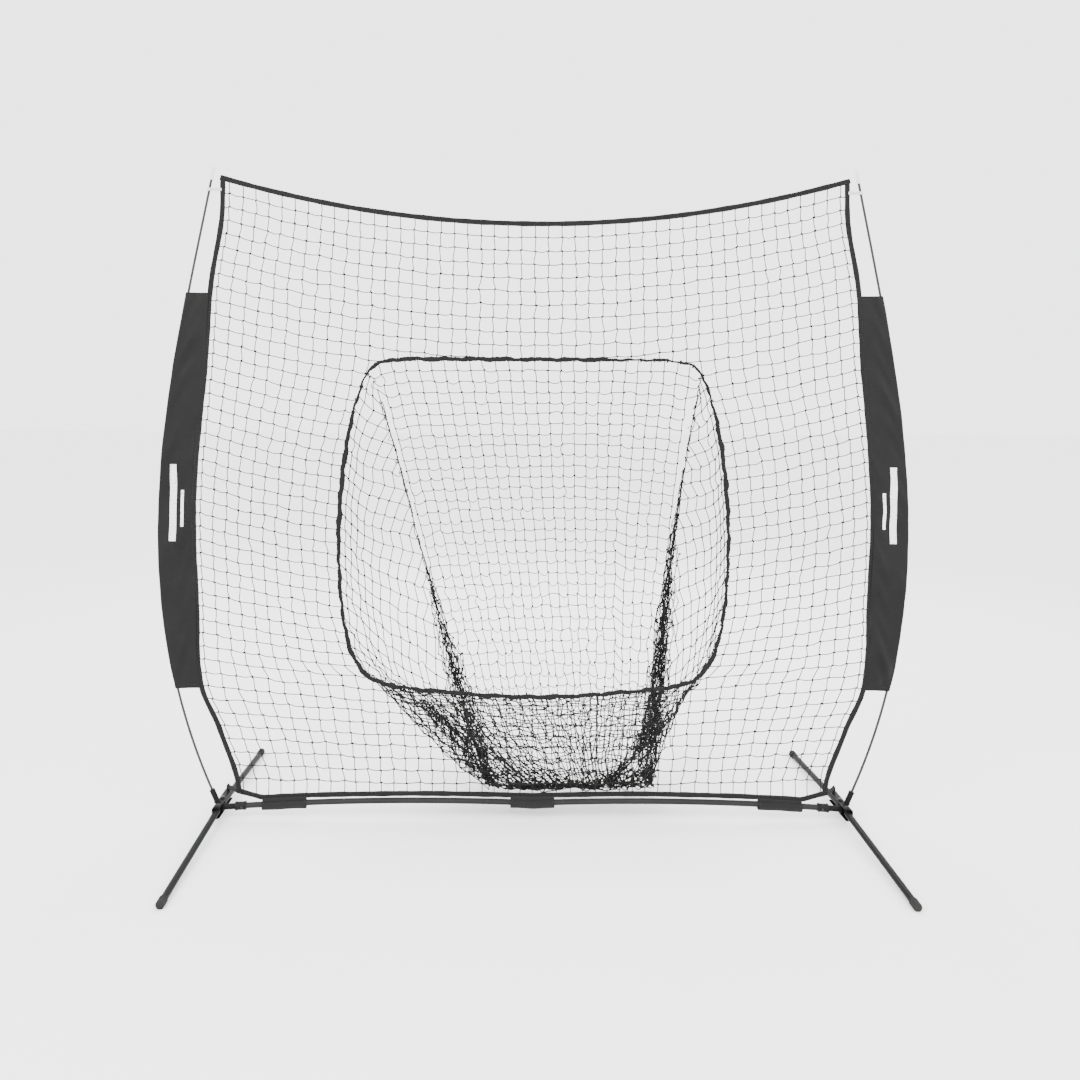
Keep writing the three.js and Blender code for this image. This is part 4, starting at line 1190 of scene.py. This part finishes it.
thread, shader, place = mottled("bonded thread", 40.0, grey(0.014), grey(0.035), 0.45, 0.2, Sheen_Weight=0.2)
bump(shader, noise(place, 2500.0, 1.0), 0.3, 0.0002)
top_reach = np.linspace(-TOP_CORNER - BINDING_HALF, TOP_CORNER + BINDING_HALF, 160)
low_reach = np.linspace(-BOTTOM_CORNER - 0.006, BOTTOM_CORNER + 0.006, 200)
side_heights = np.linspace(NET_BOTTOM - 0.004, NET_TOP - 0.004, 160)
side_points = [point(side_edge(z), 0, z) for z in side_heights]
edges = {"top": [point(x, 0, float(top_edge(x))) for x in top_reach],
         "bottom": [point(x, 0, float(bottom_edge(x))) for x in low_reach],
         "right": side_points,
         "left": [p * point(-1, 1, 1) for p in side_points]}
for phase, (name, points) in enumerate(edges.items()):
    band, sewn = binding_mesh(points, 1.7 * phase), binding_stitches(points, 1.7 * phase)
    add_piece(f"edge_{name}", band, webbing, "webbing", "frame", f"binding_{name}", crease=50)
    add_piece(f"edge_{name}_stitches", sewn, thread, "webbing", "frame", crease=NO_CREASE)


# ---- Pole sleeves ----
# Lightweight black nylon sewn into each side binding and looped round its pole. The pull between pole and
# net draws it into slanting wrinkles. Plain white bars are printed on it at mid-height.
SLEEVE_LOW, SLEEVE_HIGH = (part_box("sleeve_right")[k][2] for k in (0, 1))
SLEEVE_RADIUS = 0.0076
SEAM_OVERLAP = 0.003
HEM_SEAM = 0.012
SEAM_DEPTH = 0.0011
CLOTH = 0.0007
FLAT_POINTS = 22
HEM = 0.02


def sleeve_depth(share):
    """How far the cloth is from the net's plane: its share is 0 at the binding and 1 at the pole."""
    return SEAM_DEPTH + (SLEEVE_RADIUS - SEAM_DEPTH) * share ** 2.5


def sleeve_section(z):
    """The middle line of the cloth at a height, from the binding's front round the pole to its back."""
    pole, seam = bow_x(z), float(side_edge(z)) + SEAM_OVERLAP
    flat = [(seam + (pole - seam) * s, -sleeve_depth(s)) for s in np.linspace(0, 1, FLAT_POINTS)]
    nose = [(pole + SLEEVE_RADIUS * math.sin(a), -SLEEVE_RADIUS * math.cos(a))
            for a in np.linspace(0, math.pi, 11)[1:-1]]
    return np.array(flat + nose + [(x, -y) for x, y in reversed(flat)])


def normals(line):
    """Unit vectors across a flat line, to its right."""
    ahead = units(np.gradient(line, axis=0))
    return np.stack([ahead[:, 1], -ahead[:, 0]], -1)


def two_faces(middle, out, thick):
    """A ring out along one face of a cloth and back along the other."""
    return np.vstack([middle + out * thick / 2, (middle - out * thick / 2)[::-1]])


def wrinkle(x, z, layer, phase):
    """How far a slanting pull stands proud of the cloth."""
    slant = z + 1.25 * x + 0.045 * math.sin(3.1 * z + phase) + 0.02 * math.sin(72 * x + 5 * z)
    deep = max(0.0, math.sin(slant * 19 + phase + layer)) ** 2 * (0.7 + 0.3 * math.sin(4.7 * z + 2 * phase))
    fine = math.sin(slant * 57 + 2.1 * phase + 3 * layer) * 0.22
    cross = max(0.0, math.sin((z - 0.9 * x) * 22 + 1.3 * phase + 2 * layer)) ** 3 * 0.5
    return deep + fine + cross


def sleeve_mesh(side, phase):
    """The sleeve, and its girth at each height."""
    rows, girths = [], []
    for z in np.linspace(SLEEVE_LOW, SLEEVE_HIGH, 190):
        middle = sleeve_section(z)
        girths.append(np.linalg.norm(np.diff(middle, axis=0), axis=1).sum())
        out = normals(middle)
        count = len(middle)
        hem = min(1.0, (z - SLEEVE_LOW) / HEM, (SLEEVE_HIGH - z) / HEM)
        most = 0.0115 - 0.004 * (z - SLEEVE_LOW)
        for i, (x, _) in enumerate(middle):
            share = min(i, count - 1 - i) / (FLAT_POINTS - 1)
            free = max(0.0, math.sin(math.pi * share)) ** 0.7 if share < 1 else 0.0
            free = max(free, 0.12 if share > 0.1 else 0.0)
            rise = wrinkle(x - middle[0][0], z, i > count / 2, phase) * most * free * (0.25 + 0.75 * hem)
            middle[i] += out[i] * rise
        ring = two_faces(middle, out, CLOTH * (1.0 + 1.2 * (hem < 0.6)))
        rows.append(np.array([(side * x, y, z) for x, y in ring]))
    walls, ends = between_rings(len(rows), len(ring)), strip_ends(len(rows), len(ring))
    if side < 0:
        walls, ends = [(a, d, c, b) for a, b, c, d in walls], [face[::-1] for face in ends]
    return (np.vstack(rows), walls + ends), girths


sleeve_nylon = nylon_weave("black ripstop nylon", 0.005, 0.011, 0.5, 0.0022, 0.25, 0.05)
sleeve_shader = sleeve_nylon.node_tree.nodes["Principled BSDF"]
sleeve_tree = sleeve_nylon.node_tree
sleeve_place = Socket(sleeve_tree, sleeve_tree.nodes["Texture Coordinate"].outputs["Object"])
sleeve_x, _, sleeve_z = sleeve_place.axes()
BAR_MIDDLE = 1.075
bar_x = bow_x(BAR_MIDDLE)


def printed_bar(inside, below, half_width, half_height):
    """A bar so far inside the pole, and so far below the middle."""
    across = abs(abs(sleeve_x) - (bar_x - inside)) < half_width
    return across * (abs(sleeve_z - (BAR_MIDDLE - below)) < half_height)


printed = printed_bar(0.044, 0.0, 0.011, 0.130) + printed_bar(0.074, 0.020, 0.005, 0.062)
cracks = noise(sleeve_place, 300.0, 2.0) > 0.36
cloth_colour = Socket(sleeve_tree, sleeve_shader.inputs["Base Color"].links[0].from_socket)
feed(sleeve_shader, "Base Color", (printed * cracks * 0.92).between(cloth_colour, grey(0.82)))

for phase, (side_name, side) in enumerate(SIDES):
    parts, girths = sleeve_mesh(side, 0.8 + 2.3 * phase)
    cloth = add_piece(f"sleeve_cloth_{side_name}", parts, sleeve_nylon, "nylon", "frame",
                      f"sleeve_{side_name}", crease=60)
    length = float(SLEEVE_HIGH - SLEEVE_LOW)
    seams_sewn = []
    for z in (SLEEVE_LOW + HEM_SEAM, SLEEVE_HIGH - HEM_SEAM):
        reach = np.arange(float(side_edge(z)) + 0.012, bow_x(z) - 0.004, 0.006)
        for face in (-1, 1):
            share = (reach - side_edge(z)) / (bow_x(z) - side_edge(z))
            depth = face * (sleeve_depth(share) + 0.0009)
            centres = np.stack([side * reach, depth, np.full_like(reach, z)], -1)
            seams_sewn.append(stitch_mesh(centres, [1.0, 0.0, 0.0], face))
    add_piece(f"sleeve_hems_{side_name}", joined(*seams_sewn), thread, "nylon", "frame", crease=NO_CREASE)


# ---- Corner straps and base tabs ----
# Short loops of webbing tie the net's top corners to the poles and its bottom corners to the hubs' pegs;
# three wider tabs of charcoal cloth wrap the base tube and hold the bottom binding to it.
def looped(stations, radius, thick, swell=0.0, points=26):
    """A strap round a rod and back to an edge. Each station gives the rod's centre, the edge and the sideways
    vector; the section is a closed band."""
    rows = []
    for index, (centre, edge, across) in enumerate(stations):
        way = unit(edge - centre)
        reach = np.linalg.norm(edge - centre)
        turn = math.asin(min(0.6, thick / radius))
        middle = [(reach, -thick * 0.75), (reach * 0.6, -thick * 0.8 - swell)]
        for a in np.linspace(2 * math.pi - turn, turn, points):
            drop = 1 + max(0.0, -math.cos(a)) * swell / radius
            middle.append((radius * math.cos(a) * drop, radius * math.sin(a)))
        middle += [(reach * 0.6, thick * 0.8 + swell), (reach, thick * 0.75)]
        middle = np.array(middle)
        edge_soft = 0.55 if index in (0, len(stations) - 1) else 1.0
        rows.append([centre + way * u + across * v
                     for u, v in two_faces(middle, -normals(middle), thick * edge_soft)])
    around = len(rows[0])
    faces = between_rings(len(rows), around) + strip_ends(len(rows), around)
    return (np.vstack(rows), faces), 2 * reach + 2 * math.pi * radius


def faces_out(parts):
    """The same mesh with its faces pointing out."""
    v, faces = parts
    volume = sum(np.dot(v[f[0]], np.cross(v[f[i]], v[f[i + 1]])) for f in faces for i in range(1, len(f) - 1))
    return v, (faces if volume > 0 else [tuple(reversed(f)) for f in faces])


def add_strap(name, stations, radius, side, material, slot, node):
    strap, _ = looped(stations, radius, 0.0014)
    verts, faces = mirrored(strap, side)
    add_piece(name, faces_out((np.array(verts), faces)), material, slot, "frame", node, crease=50)


elastic = plain_nylon("pale elastic", 0.42, 0.58, 0.8)
LOOP_LOW, LOOP_TOP = (corner[2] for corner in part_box("top_loop_right"))
for side_name, side in SIDES:
    stations = [(point(bow_x(z), 0, z), point(side_edge(z) + 0.004, 0, z), point(0, 1, 0))
                for z in np.linspace(LOOP_LOW, LOOP_TOP, 9)]
    add_strap(f"top_strap_{side_name}", stations, 0.0056, side, elastic, "pale_elastic",
              f"top_loop_{side_name}")
    peg = point(HALF_SPAN, PEG_Y, 0)
    corner = point(BOTTOM_CORNER + 0.004, 0.001, NET_BOTTOM)
    flat_way = unit((peg - corner) * point(1, 1, 0))
    sideways = point(-flat_way[1], flat_way[0], 0)
    stations = []
    for rise in np.linspace(0, 0.014, 7):
        centre = peg * point(1, 1, 0) + point(0, 0, PLATE_TOP + 0.0035 + rise)
        stations.append((centre, point(corner[0], corner[1], corner[2] - 0.007 + rise), sideways))
    add_strap(f"corner_strap_{side_name}", stations, 0.0052, side, webbing, "webbing",
              f"corner_loop_{side_name}")

tab_cloth = nylon_weave("charcoal tab cloth", 0.010, 0.017, 0.85, 0.0013, 0.7, 0.05)
for tab_name in ("left", "centre", "right"):
    tab_low, tab_high = (np.array(c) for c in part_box(f"base_tab_{tab_name}"))
    stations = []
    for x in np.linspace(tab_low[0], tab_high[0], 41):
        share = (x - tab_low[0]) / (tab_high[0] - tab_low[0])
        slack = 0.0012 * math.sin(share * 9 + tab_low[0] * 5)
        centre = base_path(x) + point(0, 0, -0.0022 + slack * 0.5)
        stations.append((centre, point(x, 0, float(bottom_edge(x)) - 0.002), point(0, 1, 0)))
    tab, girth = looped(stations, 0.0128, 0.0016, 0.0035, 34)
    cloth = add_piece(f"tab_{tab_name}", faces_out(tab), tab_cloth, "tab_fabric", "frame",
                      f"base_tab_{tab_name}", crease=50)
    round(girth + 0.01, 3)
    sewn = []
    for x in (tab_low[0] + 0.006, tab_high[0] - 0.006):
        for face in (-1, 1):
            heights = np.arange(base_height(x) + 0.006, float(bottom_edge(x)) - 0.010, 0.005)
            lean = np.clip((float(bottom_edge(x)) - heights) / 0.022, 0.12, 1)
            centres = np.stack([np.full_like(heights, x), face * (0.0118 * lean + 0.0012), heights], -1)
            sewn.append(stitch_mesh(centres, [0.0, 0.0, 1.0], face))
    add_piece(f"tab_stitches_{tab_name}", joined(*sewn), thread, "tab_fabric", "frame", crease=NO_CREASE)
